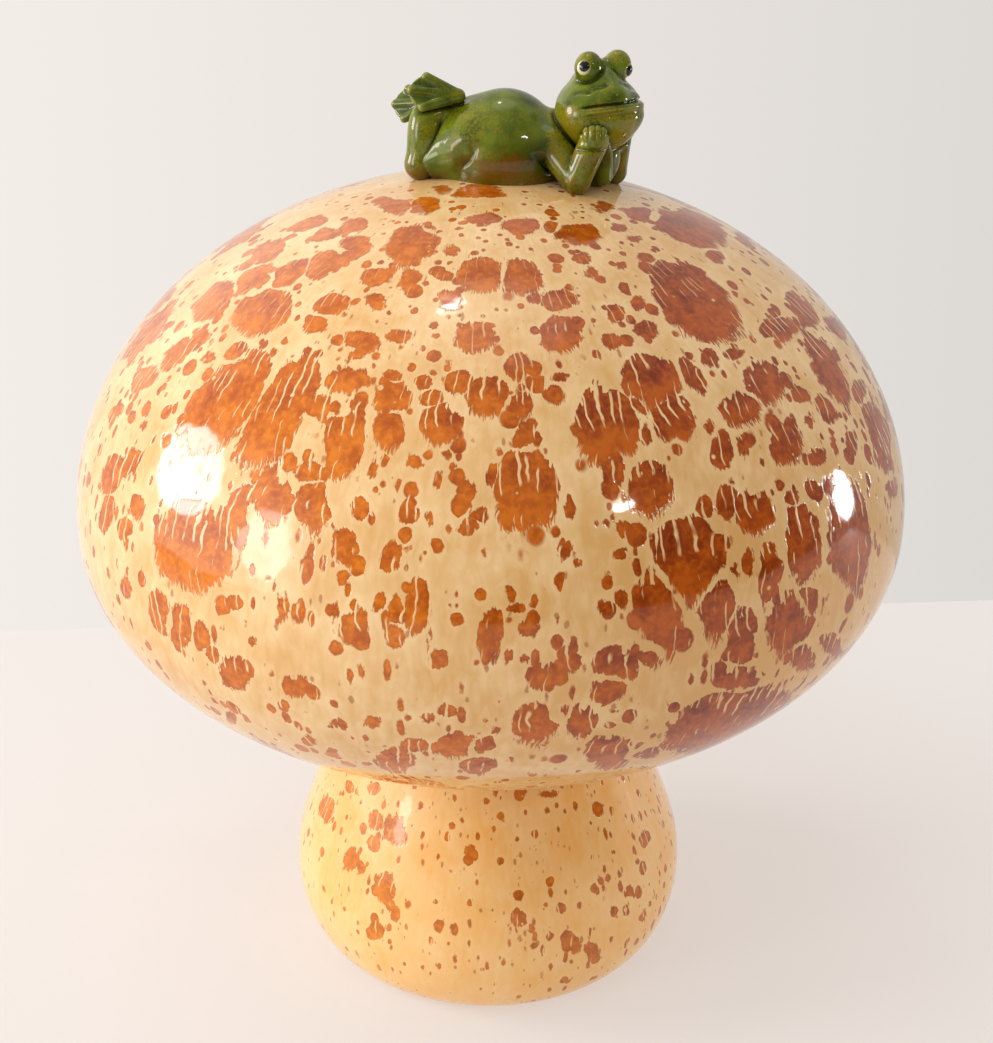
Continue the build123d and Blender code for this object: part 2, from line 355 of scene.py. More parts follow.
def turned(name, line, turns, glazed_from, glazed_to):
    """Closed shell: point (i, j) is outline point i turned by angle j; both ends lie on the axis.

    Faces between the two given rows are glazed and take material 0, and the others are bare clay."""
    angle = turn_angles(turns)
    inner = line[1:-1]
    grid = np.stack(np.broadcast_arrays(
        inner[:, :1] * np.sin(angle), -inner[:, :1] * np.cos(angle), inner[:, 1:]), -1)
    ends = np.array([[0, 0, line[0, 1]], [0, 0, line[-1, 1]]])
    vertices = np.vstack([grid.reshape(-1, 3), ends])
    rows = np.arange(len(inner) * turns).reshape(len(inner), turns)
    nxt = np.roll(rows, -1, axis=1)
    quads = np.stack([rows[:-1], rows[1:], nxt[1:], nxt[:-1]], -1).reshape(-1, 4)
    first, last = len(vertices) - 2, len(vertices) - 1
    top = np.column_stack([np.full(turns, first), rows[0], nxt[0]])
    bottom = np.column_stack([nxt[-1], rows[-1], np.full(turns, last)])
    faces = top.tolist() + quads.tolist() + bottom.tolist()
    row_of_quad = 1 + np.repeat(np.arange(len(inner) - 1), turns)
    row_of_face = np.r_[np.zeros(turns), row_of_quad, np.full(turns, len(line))]
    bare = (row_of_face < glazed_from) | (row_of_face >= glazed_to)
    piece = link_piece(name, vertices, faces, bare.astype(np.int32))
    piece.data.set_sharp_from_angle(angle=SHARP_ANGLE)
    return piece, grid


cap_skin, cap_grid = turned("cap_glazed", cap_line, CAP_TURNS, 0, len(cap_side) - 1)
stem_start = len(stem_hollow) + len(neck)
stem_end = stem_start + len(stem_side)
stem_skin, stem_grid = turned("stem_glazed", stem_line_all, STEM_TURNS, stem_start, stem_end)
print("cap:", len(cap_skin.data.polygons), "faces, stem:", len(stem_skin.data.polygons), "faces")

# %% [markdown]
# ## Where the glaze broke
# A cream glaze was laid over an amber one. In the kiln it broke into cells: wide windows where the amber
# pushed through, drawn out down the slope, with smaller ones around them. A potter can't place them, but
# the photograph shows where the largest ended up on its side, so those are listed and the far side gets
# seeded random ones of the same kind. The cells are sorted into groups, so that neighbours differ, and each
# point of the skin keeps its depth inside the nearest cell of every group.

# %% Cells seen in the photograph
# Column, row, half width, half height in pixels of the photograph, and lean in degrees
CAP_CELLS_PX = [
    (228, 400, 30, 62, 42), (278, 412, 27, 66, 28), (262, 312, 20, 32, 58), (332, 306, 18, 11, -10),
    (320, 324, 15, 9, -10), (362, 341, 20, 12, 0), (412, 245, 26, 19, -15), (484, 276, 29, 18, 0),
    (518, 278, 24, 18, 0), (476, 337, 22, 15, 0), (350, 380, 20, 13, 0), (392, 397, 19, 16, 0),
    (391, 430, 17, 20, 0), (440, 425, 21, 22, 0), (345, 440, 20, 38, 8), (488, 397, 22, 20, 0),
    (272, 494, 17, 30, 6), (312, 504, 16, 32, 4), (196, 545, 42, 46, 0), (238, 525, 11, 42, 6),
    (354, 246, 22, 9, -20), (330, 262, 27, 11, -28), (290, 274, 21, 10, -35), (253, 279, 20, 9, -35),
    (266, 252, 20, 9, -28), (355, 223, 13, 7, -10), (215, 300, 26, 13, -50), (200, 337, 7, 12, 35),
    (150, 330, 9, 34, 38), (112, 475, 10, 19, 15), (137, 507, 9, 13, 0), (235, 354, 13, 11, -40),
    (209, 359, 11, 8, -40), (160, 300, 20, 8, -55), (245, 232, 30, 6, -36), (178, 352, 8, 18, 40),
    (695, 302, 32, 54, -48), (560, 335, 24, 21, 0), (607, 425, 35, 40, 0), (650, 380, 34, 28, 0),
    (675, 420, 22, 26, -8), (764, 382, 20, 28, -32), (742, 408, 22, 20, 0), (527, 490, 33, 44, 0),
    (520, 408, 14, 15, 0), (555, 396, 12, 13, 0), (645, 330, 16, 11, 0), (613, 341, 12, 9, 0),
    (581, 234, 25, 12, 0), (522, 227, 20, 9, 0), (600, 207, 12, 5, 0), (690, 228, 42, 18, 18),
    (803, 312, 11, 24, -38), (828, 370, 15, 44, -30), (785, 330, 14, 14, 0), (787, 445, 16, 22, 0),
    (650, 490, 25, 30, 0), (615, 470, 12, 24, 0), (722, 452, 11, 22, 0), (880, 440, 11, 46, -16),
    (755, 513, 20, 25, 0), (803, 542, 19, 50, -6), (850, 535, 23, 55, 0), (690, 562, 42, 48, 0),
    (660, 606, 26, 56, 0), (716, 600, 22, 46, 0), (770, 578, 13, 38, 0), (786, 622, 23, 34, 0),
    (740, 640, 18, 36, 0), (726, 716, 72, 29, -23), (740, 680, 30, 20, 0), (615, 664, 24, 21, 0),
    (610, 688, 20, 17, 0), (652, 655, 15, 15, 0), (570, 660, 12, 14, 0), (543, 675, 17, 15, 0),
    (536, 724, 24, 23, 0), (581, 721, 14, 16, 0), (608, 751, 22, 19, 0), (648, 753, 12, 6, -10),
    (490, 634, 14, 26, 0), (416, 606, 14, 26, 0), (397, 610, 10, 15, 0), (395, 636, 8, 14, 0),
    (346, 544, 13, 19, 0), (409, 515, 9, 11, 0), (393, 554, 9, 16, 25), (440, 658, 9, 9, 0),
    (395, 760, 20, 11, 5), (455, 745, 23, 15, 0), (415, 744, 11, 7, 0), (478, 765, 17, 10, 0),
    (371, 719, 10, 7, 10), (298, 685, 14, 13, 0), (236, 674, 14, 18, -20), (210, 655, 7, 8, 0),
    (182, 626, 10, 22, -5), (159, 612, 9, 18, -5), (235, 603, 8, 7, 0), (566, 545, 7, 13, 0),
    (621, 553, 10, 8, 0), (577, 564, 7, 6, 0), (529, 628, 13, 10, 0), (443, 189, 10, 4, 0),
    (425, 205, 14, 8, 0), (395, 205, 16, 8, 0), (480, 192, 23, 6, 0), (640, 214, 20, 8, 8),
    (485, 218, 14, 6, 0), (429, 228, 8, 5, 0), (309, 223, 14, 5, -15), (325, 234, 10, 5, -10),
    (452, 251, 8, 6, 0), (376, 301, 10, 8, 0), (380, 278, 20, 9, -10), (409, 279, 14, 10, -15),
    (447, 275, 8, 5, 0), (451, 300, 13, 11, 0), (395, 337, 11, 6, 0), (338, 340, 8, 6, 0),
    (353, 352, 8, 6, 0), (392, 376, 9, 7, 0), (424, 382, 8, 8, 0), (447, 362, 8, 6, 0),
    (458, 382, 14, 12, 0), (432, 399, 11, 9, 0), (321, 410, 8, 11, 20), (344, 413, 10, 9, 0),
    (133, 460, 6, 12, 20), (145, 424, 5, 9, 20), (142, 380, 9, 16, 40), (117, 410, 5, 11, 25),
    (415, 462, 8, 8, -30), (447, 454, 6, 7, 0), (454, 468, 6, 7, 0), (374, 470, 5, 9, 0),
    (493, 473, 6, 14, 10), (310, 475, 16, 12, 15), (280, 478, 11, 7, -20), (106, 514, 7, 18, 12),
    (125, 527, 7, 8, 0), (126, 587, 6, 10, 0), (201, 636, 8, 16, 0), (223, 627, 5, 6, 0),
    (252, 642, 5, 5, 0), (284, 707, 5, 5, 0), (231, 717, 5, 7, -30), (310, 741, 6, 4, 0),
    (332, 753, 6, 4, 0), (477, 748, 10, 8, 0), (447, 711, 8, 5, 0), (430, 719, 7, 5, 0),
    (336, 724, 6, 4, 0), (497, 729, 6, 4, 0), (283, 609, 5, 10, 0), (298, 613, 5, 11, 5),
    (308, 562, 6, 14, 10), (349, 630, 8, 14, 0), (362, 627, 5, 10, 0), (334, 609, 5, 8, 0),
    (359, 512, 8, 11, 10), (430, 520, 6, 8, 0), (481, 513, 6, 11, 5), (470, 528, 13, 7, -20),
    (467, 490, 12, 14, 0), (438, 481, 5, 12, 20), (344, 578, 7, 7, 0), (381, 600, 6, 10, 10),
    (429, 640, 5, 10, 10), (575, 212, 7, 4, 0), (550, 227, 8, 5, 0), (580, 258, 11, 6, 0),
    (593, 272, 9, 5, 0), (620, 265, 8, 5, 0), (643, 256, 11, 6, 15), (636, 239, 11, 5, 0),
    (623, 227, 11, 5, 5), (743, 240, 14, 6, 30), (713, 256, 11, 7, 25), (532, 299, 8, 6, 0),
    (559, 302, 16, 10, 0), (639, 302, 11, 9, 0), (615, 313, 9, 9, 0), (836, 327, 16, 9, 50),
    (775, 310, 8, 7, 35), (766, 330, 8, 10, -25), (858, 392, 8, 12, -30), (889, 410, 6, 14, -25),
    (736, 354, 12, 7, 0), (708, 356, 11, 11, 0), (663, 352, 8, 6, 0), (690, 374, 11, 22, -30),
    (800, 394, 9, 13, -25), (828, 412, 9, 19, -35), (636, 402, 10, 16, -15), (646, 433, 6, 14, -8),
    (518, 367, 12, 11, 0), (562, 377, 11, 7, 0), (523, 440, 13, 13, 0), (709, 427, 6, 9, -10),
    (676, 443, 7, 12, 0), (743, 447, 6, 13, -25), (810, 420, 7, 11, -20), (792, 424, 5, 12, -15),
    (818, 459, 12, 11, 0), (835, 447, 5, 16, -12), (850, 444, 7, 14, -20), (607, 577, 6, 6, 0),
    (570, 509, 6, 13, -5), (628, 530, 16, 10, 0), (705, 507, 8, 15, 0), (725, 503, 11, 22, 0),
    (716, 529, 7, 9, 0), (813, 495, 9, 19, -12), (795, 499, 10, 12, -10), (829, 485, 7, 13, -15),
    (892, 490, 8, 17, 0), (732, 571, 8, 20, -5), (749, 562, 6, 17, 0), (809, 597, 10, 17, -5),
    (803, 657, 14, 17, -40), (832, 645, 11, 15, -50), (565, 711, 6, 7, 0), (615, 709, 7, 4, 0),
    (612, 725, 6, 4, 0), (526, 661, 8, 6, 0), (508, 655, 6, 9, 0), (519, 608, 8, 5, 0),
    (602, 607, 7, 9, 0), (622, 599, 5, 8, 0),
]
STEM_CELLS_PX = [
    (395, 828, 11, 15, 0), (385, 890, 9, 15, 0), (352, 860, 9, 14, 10), (376, 820, 7, 9, 0),
    (373, 844, 6, 8, 0), (326, 808, 7, 12, 0), (374, 931, 8, 9, 20), (349, 787, 4, 6, 0),
    (374, 788, 6, 6, 0), (396, 912, 5, 7, 0), (597, 809, 7, 9, 0), (613, 852, 5, 5, 0),
    (602, 881, 6, 7, 0), (641, 918, 5, 8, -10), (644, 840, 5, 10, 0), (562, 907, 5, 6, 0),
    (634, 894, 4, 6, 0), (571, 945, 10, 12, 0), (592, 952, 9, 12, -20), (571, 961, 4, 5, 0),
    (518, 918, 8, 8, 0), (545, 795, 9, 5, 0), (470, 850, 6, 8, 0), (455, 930, 5, 6, 0),
]
print("cells set by hand:", len(CAP_CELLS_PX), "on the cap and", len(STEM_CELLS_PX), "on the stem")

# %% Depth inside the cells
GROUPS = 3
# Power of a cell's outline, a little squarer than an ellipse
CELL_POWER = 2.1
# Depth in mm of a point that no cell reaches
OUTSIDE = -60.0
# Cosine of the angle to the camera above which the photograph's cells are used
SEEN_EDGE = 0.02


def group_of_cells(cells):
    """Sorts the cells into three groups, so that neighbours differ: each takes the group in which the
    closest cell so far, in units of both sizes, is the farthest away."""
    groups = []
    for x, y, wide, tall, _ in cells:
        gaps = np.full(GROUPS, np.inf)
        for (x2, y2, wide2, tall2, _), group in zip(cells, groups):
            gaps[group] = min(gaps[group], np.hypot((x - x2) / (wide + wide2), (y - y2) / (tall + tall2)))
        groups.append(int(np.argmax(gaps)))
    return groups


def cells_from_photo(grid, outward, cells):
    """Depth in mm inside the photograph's cells, one number for each group: for each ellipse, (1 - distance
    over its radius) times its smaller radius, and the largest of these. Points that face away lie outside.
    Also gives the smaller radius of the closest cell, and how far each point faces the camera."""
    across, down, mm_per_px = to_pixels(grid)
    best = np.full(grid.shape, OUTSIDE)
    size = np.zeros(grid.shape[:2])
    for (x, y, half_width, half_height, lean), group in zip(cells, group_of_cells(cells)):
        turn = np.radians(lean)
        dx = (across - x) * np.cos(turn) + (down - y) * np.sin(turn)
        dy = (down - y) * np.cos(turn) - (across - x) * np.sin(turn)
        reach = np.abs(dx / half_width) ** CELL_POWER + np.abs(dy / half_height) ** CELL_POWER
        inside = 1 - reach ** (1 / CELL_POWER)
        radius = min(half_width, half_height) * mm_per_px
        size = np.where(inside * radius > best.max(-1), radius, size)
        best[..., group] = np.maximum(best[..., group], inside * radius)
    facing = np.sum(outward * (CAMERA_PLACE - grid), -1) / np.linalg.norm(CAMERA_PLACE - grid, axis=-1)
    return np.where(facing[..., None] > SEEN_EDGE, best, OUTSIDE), size, facing


def cells_by_chance(grid, slope_length, seed, number, smallest, largest, unseen):
    """Depth in mm inside seeded random cells, kept where the photograph doesn't look: cubed random sizes,
    so that most are small, drawn out down the slope by up to their own width. Also gives the half width of
    the closest cell."""
    draw = np.random.default_rng(seed)
    angle = turn_angles(grid.shape[1])
    row = draw.integers(2, grid.shape[0] - 2, number)
    column = np.searchsorted(angle, draw.uniform(0, angle[-1], number))
    keep = draw.random(number) < np.hypot(*grid[row, column, :2].T) / np.abs(grid[..., :2]).max()
    half_width = smallest + (largest - smallest) * draw.random(number) ** 3
    stretch = 1 + draw.random(number)
    group = draw.integers(0, GROUPS, number)
    radius = np.hypot(grid[:, :1, 0], grid[:, :1, 1])
    best = np.full(grid.shape, OUTSIDE)
    size = np.zeros(grid.shape[:2])
    for i in np.flatnonzero(keep & unseen[row, column]):
        dx = radius * (np.mod(angle - angle[column[i]] + np.pi, 2 * np.pi) - np.pi)
        dy = (slope_length - slope_length[row[i]])[:, None] / stretch[i]
        depth = half_width[i] - np.hypot(dx, dy)
        size = np.where(depth > best.max(-1), half_width[i], size)
        best[..., group[i]] = np.maximum(best[..., group[i]], depth)
    return best, size


print("every point gets", GROUPS, "depths, so that a wall can stand between neighbours")

# %% Values at the points of the castings
# Cosine of the angle to the camera below which random cells are used
UNSEEN_EDGE = 0.1
# Radius in mm up to which a cell's edge stays smooth, and from which it frays in full
SMALL_CELL, LARGE_CELL = 2.0, 6.0
# Distance in mm from a cell over which small windows get fewer
NEAR_REACH = 18.0


def paint(piece, grid, rows_before, outward, cells, seed, number, smallest, largest):
    """Stores at each point: cells, the depth in mm inside a cell of each group; lower, how far the edge of a
    large cell there faces down the slope; near, how close a cell is; and flow, the place round and down."""
    step = np.hypot(np.hypot(*np.diff(grid[:, 0, :2], axis=0).T), np.diff(grid[:, 0, 2]))
    slope_length = np.r_[0, np.cumsum(step)]
    seen, seen_size, facing = cells_from_photo(grid, outward, cells)
    unseen = facing < UNSEEN_EDGE
    chance, chance_size = cells_by_chance(grid, slope_length, seed, number, smallest, largest, unseen)
    depth = np.maximum(seen, chance)
    best = depth.max(-1)
    size = np.where(seen.max(-1) > chance.max(-1), seen_size, chance_size)
    large = np.clip((size - SMALL_CELL) / (LARGE_CELL - SMALL_CELL), 0, 1)
    lower = -np.gradient(best, slope_length, axis=0) * large
    girth = np.abs(grid[..., :2]).max()
    angle = turn_angles(grid.shape[1])
    flow = np.stack(np.broadcast_arrays(
        girth * np.sin(angle), -girth * np.cos(angle), slope_length[:, None]), -1)
    total = len(piece.data.vertices)
    rows = slice(rows_before * grid.shape[1], rows_before * grid.shape[1] + best.size)
    for name, values in (("lower", lower), ("near", np.exp(np.minimum(best, 0) / NEAR_REACH))):
        full = np.zeros(total, np.float32)
        full[rows] = values.ravel()
        piece.data.attributes.new(name, "FLOAT", "POINT").data.foreach_set("value", full)
    for name, values in (("cells", depth), ("flow", flow)):
        full = np.full((total, 3), OUTSIDE, np.float32)
        full[rows] = values.reshape(-1, 3)
        piece.data.attributes.new(name, "FLOAT_VECTOR", "POINT").data.foreach_set("vector", full.ravel())
    print(piece.name, "amber share:", round(float((best > 0).mean()), 2))


cap_outer = cap_grid[:len(cap_side) - 1]
height = cap_outer[..., 2:] - equator
cap_outward = np.concatenate([
    cap_outer[..., :2] / cap_radius ** 2, height / np.where(height > 0, CROWN_HEIGHT, underside) ** 2], -1)
cap_outward /= np.linalg.norm(cap_outward, axis=-1, keepdims=True)
paint(cap_skin, cap_outer, 0, cap_outward, CAP_CELLS_PX, seed=11, number=420, smallest=2.0, largest=17.0)
stem_outer = stem_grid[stem_start:stem_end]
stem_outward = stem_outer * [1, 1, 0] / np.hypot(stem_outer[..., 0], stem_outer[..., 1])[..., None]
paint(stem_skin, stem_outer, stem_start, stem_outward, STEM_CELLS_PX, seed=5, number=90, smallest=1.2,
      largest=4.5)

# %% [markdown]
# ## The reactive glaze
# Real glaze is a glass: a clear glossy skin over colour that ran while it was soft. The stored depths give
# each cell its rim and core, and where two cells meet a thin wall of cream is left standing. Noise that is
# stretched along the flow lets cream drip in over a cell's upper edge and frays its lower edge into hairs.
# Lines down the flow are cream threads that hang from upper edges, and patterns of random cells add the small
# windows, the cream drops and the specks. A picture of the glaze would be quicker, but nodes stay sharp at
# any size.

# %% The melt
# Sizes in mm: broad lumps, fine lumps, the flow's wavering and how far it goes, hairs and drips
LUMP, GRAIN, WAVER, WAVER_REACH, HAIR, DRIP = 7.0, 1.6, 14.0, 9.0, 0.6, 1.8
# Scale along the flow of hairs and drips, under 1 so that they are drawn out
DRAWN_OUT = 0.12
# Places in mm across the object where the right side, darkened as painted shade, starts and where it is full
SHADED_RIGHT_FROM, SHADED_RIGHT_FULL = -25.0, 45.0


def mix_melt(tree):
    """What the parts of the glaze share: the place in mm, the values stored at each point, and the melt's
    unevenness, as lumps of two sizes and as hairs and drips drawn out along a wavering flow."""
    place = add(tree, "TexCoord")["Object"]
    place = add(tree, "Mapping", {"Vector": place, "Scale": (1 / MM, 1 / MM, 1 / MM)})[0]
    sides = add(tree, "SeparateXYZ", [place])
    # Right side: the mask for painted shade (darker amber, deeper low cream) and for cells that close a
    # little
    right = add(tree, "MapRange", [sides["X"], SHADED_RIGHT_FROM, SHADED_RIGHT_FULL])[0]
    flow = add(tree, "Attribute", attribute_name="flow")["Vector"]
    depths = add(tree, "Attribute", attribute_name="cells")["Vector"]
    depths = add(tree, "SeparateXYZ", [depths])
    near = add(tree, "Attribute", attribute_name="near")["Fac"]
    lower = add(tree, "Attribute", attribute_name="lower")["Fac"]
    broad = add(tree, "TexNoise", {"Vector": place, "Scale": 1 / LUMP, "Detail": 1.0})[0]
    fine = add(tree, "TexNoise", {"Vector": place, "Scale": 1 / GRAIN, "Detail": 2.0})[0]
    ragged = add(tree, "MapRange", [fine, 0.3, 0.7, -0.22, 0.22], clamp=False)[0]
    warp = add(tree, "TexNoise", {"Vector": place, "Scale": 1 / WAVER, "Detail": 3.0})["Color"]
    bent = add(tree, "VectorMath", [warp, [WAVER_REACH] * 3, flow], operation="MULTIPLY_ADD")[0]
    drawn = add(tree, "Mapping", {"Vector": bent, "Scale": (1.0, 1.0, DRAWN_OUT)})[0]
    hairs = add(tree, "TexNoise", {"Vector": drawn, "Scale": 1 / HAIR, "Detail": 1.0})[0]
    drips = add(tree, "TexNoise", {"Vector": drawn, "Scale": 1 / DRIP, "Detail": 1.0})[0]
    return SimpleNamespace(
        place=place, high=sides["Z"], right=right, flow=flow, depths=depths, near=near, lower=lower,
        broad=broad, fine=fine, ragged=ragged, bent=bent, hairs=hairs, drips=drips)


print("finest noise in the melt:", HAIR, "mm")

# %% Where the cream broke
# Heights in mm where drips are short and where they are longest
DRIPS_FROM, DRIPS_FULL = 230.0, 150.0
# Heights of small windows over their widths: the larger kind, and slits where the wall is steep
WINDOW_SQUEEZE, SLIT_SQUEEZE = 0.85, 0.4


def broken_field(tree, melt, cell_size):
    """How far in mm a point lies inside an opening of the cream, and how far its edge faces down the slope.

    It is the depth in the deepest cell, less the wall that is left standing towards the next one. On the
    right side, where the cream ran thicker, the cells closed a little."""
    larger = add(tree, "Math", [melt.depths[0], melt.depths[1]], operation="MAXIMUM")[0]
    smaller = add(tree, "Math", [melt.depths[0], melt.depths[1]], operation="MINIMUM")[0]
    best = add(tree, "Math", [larger, melt.depths[2]], operation="MAXIMUM")[0]
    second = add(tree, "Math", [larger, melt.depths[2]], operation="MINIMUM")[0]
    second = add(tree, "Math", [smaller, second], operation="MAXIMUM")[0]
    waver = add(tree, "MapRange", [melt.broad, 0.3, 0.7, -0.65, 0.95], clamp=False)[0]
    waver = add(tree, "Math", [melt.right, -0.45, waver], operation="MULTIPLY_ADD")[0]
    best = add(tree, "Math", [best, waver], operation="ADD")[0]
    best = add(tree, "Math", [best, melt.ragged], operation="ADD")[0]
    wall = add(tree, "MapRange", [melt.fine, 0.3, 0.7, 0.2, 0.9])[0]
    wall = add(tree, "Math", [second, wall], operation="ADD")[0]
    wall = add(tree, "Math", [best, wall], operation="SUBTRACT")[0]
    field = add(tree, "Math", [best, wall], operation="MINIMUM")[0]

    # Edges of large cells that face down the slope fray into hairs, and cream drips in over the upper ones
    frayed = add(tree, "Math", [melt.lower, 0.0], operation="MAXIMUM")[0]
    steep = add(tree, "Math", [frayed, 1.6, 0.25], operation="MULTIPLY_ADD")[0]
    hair = add(tree, "MapRange", [melt.hairs, 0.3, 0.7, -0.9, 0.9], clamp=False)[0]
    field = add(tree, "Math", [steep, hair, field], operation="MULTIPLY_ADD")[0]
    run = add(tree, "MapRange", [melt.high, DRIPS_FROM, DRIPS_FULL, 1.5, 6.0])[0]
    drip = add(tree, "MapRange", [melt.drips, 0.55, 0.63, 0.0, run])[0]
    upper = add(tree, "Math", [melt.lower, 0.0], operation="MINIMUM")[0]
    field = add(tree, "Math", [upper, drip, field], operation="MULTIPLY_ADD")[0]

    # Small windows crowd round the large cells
    for size, squeeze in ((cell_size, WINDOW_SQUEEZE), (cell_size / 2, SLIT_SQUEEZE)):
        window = add(tree, "Mapping", {"Vector": melt.place, "Scale": (1.0, 1.0, squeeze)})[0]
        window = add(tree, "TexVoronoi", {"Vector": window, "Scale": 1 / size})
        chance = add(tree, "SeparateColor", [window["Color"]])["Red"]
        reach = add(tree, "MapRange", [chance, 0.3, 1.0, -0.1, 0.5])[0]
        reach = add(tree, "Math", [reach, melt.near], operation="MULTIPLY")[0]
        reach = add(tree, "Math", [reach, window["Distance"]], operation="SUBTRACT")[0]
        window = add(tree, "Math", [reach, size, melt.ragged], operation="MULTIPLY_ADD")[0]
        field = add(tree, "Math", [field, window], operation="MAXIMUM")[0]
    return field, frayed


print("drips grow longer from", DRIPS_FROM, "mm down to", DRIPS_FULL, "mm above the floor")

# %% Cream threads and drops
# Mean spacing in mm of threads round the casting, and of drops
THREAD_SPACING, DROP_SPACING = 4.0, 3.7
# Heights in mm where threads start and below which they are in full
THREADS_FROM, THREADS_FULL = 252.0, 225.0


def threads_and_drops(tree, melt, girth):
    """How far a cream thread or drop covers a point. Threads are walls of long bubbles that burst, lines at
    random angles round the axis. They hang from upper edges, about 1.2 mm wide there and 0.3 mm below."""
    around = add(tree, "SeparateXYZ", [melt.bent])
    back = add(tree, "Math", [around["Y"], -1.0], operation="MULTIPLY")[0]
    angle = add(tree, "Math", [around["X"], back], operation="ARCTAN2")[0]
    thread = add(tree, "TexVoronoi", {"W": angle, "Scale": girth / THREAD_SPACING},
                 voronoi_dimensions="1D", feature="DISTANCE_TO_EDGE")["Distance"]
    outer = add(tree, "MapRange", [melt.lower, -0.6, 0.6, 0.15, 0.04])[0]
    inner = add(tree, "Math", [outer, 0.4], operation="MULTIPLY")[0]
    thread = add(tree, "MapRange", [thread, outer, inner], interpolation_type="SMOOTHSTEP")[0]
    parts = add(tree, "Math", [melt.lower, -0.12, melt.broad], operation="MULTIPLY_ADD")[0]
    parts = add(tree, "MapRange", [parts, 0.5, 0.58])[0]
    steeper = add(tree, "MapRange", [melt.high, THREADS_FROM, THREADS_FULL])[0]
    parts = add(tree, "Math", [parts, steeper], operation="MULTIPLY")[0]
    thread = add(tree, "Math", [thread, parts], operation="MULTIPLY")[0]
    # Drops, where a bubble left some cream
    drop = add(tree, "TexVoronoi", {"Vector": melt.place, "Scale": 1 / DROP_SPACING})
    chance = add(tree, "SeparateColor", [drop["Color"]])["Red"]
    reach = add(tree, "MapRange", [chance, 0.8, 1.0, -0.1, 0.2])[0]
    drop = add(tree, "Math", [reach, drop["Distance"]], operation="SUBTRACT")[0]
    drop = add(tree, "MapRange", [drop, -0.05, 0.05])[0]
    return add(tree, "Math", [thread, drop], operation="MAXIMUM")[0]


print("threads round the cap:", round(2 * np.pi * cap_radius / THREAD_SPACING))

# %% Amber and cream
# Sizes in mm of the amber's mottling and of the cream's clouds
MOTTLE, CLOUD = 5.0, 14.0
# Heights in mm below which painted shade deepens the cream on the right side, and at which it is deepest
SHADE_LOW_FROM, SHADE_LOW_FULL = 220.0, 160.0


def amber_colour(tree, melt, field, ambers, right_shade_ambers, rim):
    """Amber: brown at the edge, deep where it is thick at the top of a cell and bright below, with slow
    mottling, and a darker red on the right side as painted shade."""
    mottle = add(tree, "TexNoise", {"Vector": melt.place, "Scale": 1 / MOTTLE, "Detail": 4.0})[0]
    mottle = add(tree, "MapRange", [mottle, 0.3, 0.7, 0.0, 0.75], clamp=False)[0]
    core = add(tree, "MapRange", [melt.lower, -0.4, 0.8, 0.0, 0.5])[0]
    warmth = add(tree, "Math", [core, mottle], operation="ADD")[0]
    grain = add(tree, "MapRange", [melt.fine, 0.45, 0.7, -0.1, 0.4])[0]
    warmth = add(tree, "Math", [warmth, grain], operation="ADD", use_clamp=True)[0]
    # Painted shade: the right side mixes in darker red ambers
    left_side, shaded_right_side = (
        add(tree, "Mix", {0: warmth, 6: linear(deep), 7: linear(light)}, data_type="RGBA")[2]
        for deep, light in (ambers, right_shade_ambers))
    under = add(tree, "Mix", {0: melt.right, 6: left_side, 7: shaded_right_side}, data_type="RGBA")[2]
    edge = add(tree, "MapRange", [field, 0.6, 0.0, 0.0, 0.3])[0]
    return add(tree, "Mix", {0: edge, 6: under, 7: linear(rim)}, data_type="RGBA")[2]


def cream_colour(tree, melt, field, creams, fleck, right_shade_depth, speck_size, speck_share):
    """Cream: cloudy, paler where it is thick beside a cell, deeper low on the right side as painted shade,
    with brown specks drawn out down the slope to twice their width."""
    cloud = add(tree, "TexNoise", {"Vector": melt.place, "Scale": 1 / CLOUD, "Detail": 3.0})[0]
    cloud = add(tree, "MapRange", [cloud, 0.35, 0.65, 0.0, 0.6])[0]
    thickness_and_shade = add(tree, "MapRange", [field, -2.5, -0.2, 0.0, 0.4])[0]
    thickness_and_shade = add(tree, "Math", [thickness_and_shade, cloud], operation="ADD")[0]
    streak = add(tree, "MapRange", [melt.drips, 0.3, 0.7, -0.12, 0.12])[0]
    thickness_and_shade = add(tree, "Math", [thickness_and_shade, streak], operation="ADD")[0]
    # Painted shade: the cream deepens low on the right side
    low_right_shade = add(tree, "MapRange", [melt.high, SHADE_LOW_FROM, SHADE_LOW_FULL, 0.0, -right_shade_depth])[0]
    thickness_and_shade = add(tree, "Math", [low_right_shade, melt.right, thickness_and_shade], operation="MULTIPLY_ADD", use_clamp=True)[0]
    over = add(tree, "Mix", {0: thickness_and_shade, 6: linear(creams[0]), 7: linear(creams[1])}, data_type="RGBA")[2]
    long = add(tree, "Mapping", {"Vector": melt.flow, "Scale": (1.0, 1.0, 0.5)})[0]
    speck = add(tree, "TexVoronoi", {"Vector": long, "Scale": 1 / speck_size})
    chance = add(tree, "SeparateColor", [speck["Color"]])["Red"]
    reach = add(tree, "MapRange", [chance, 1 - speck_share, 1.0, -0.2, 0.3])[0]
    reach = add(tree, "Math", [reach, speck["Distance"]], operation="SUBTRACT")[0]
    speck = add(tree, "Math", [reach, speck_size, melt.ragged], operation="MULTIPLY_ADD")[0]
    speck = add(tree, "MapRange", [speck, -0.1, 0.15, 0.0, 0.7])[0]
    return add(tree, "Mix", {0: speck, 6: over, 7: linear(fleck)}, data_type="RGBA")[2]


print("clouds in the cream:", CLOUD, "mm, mottling in the amber:", MOTTLE, "mm")

# %% Reactive glaze
RELIEF = 0.1


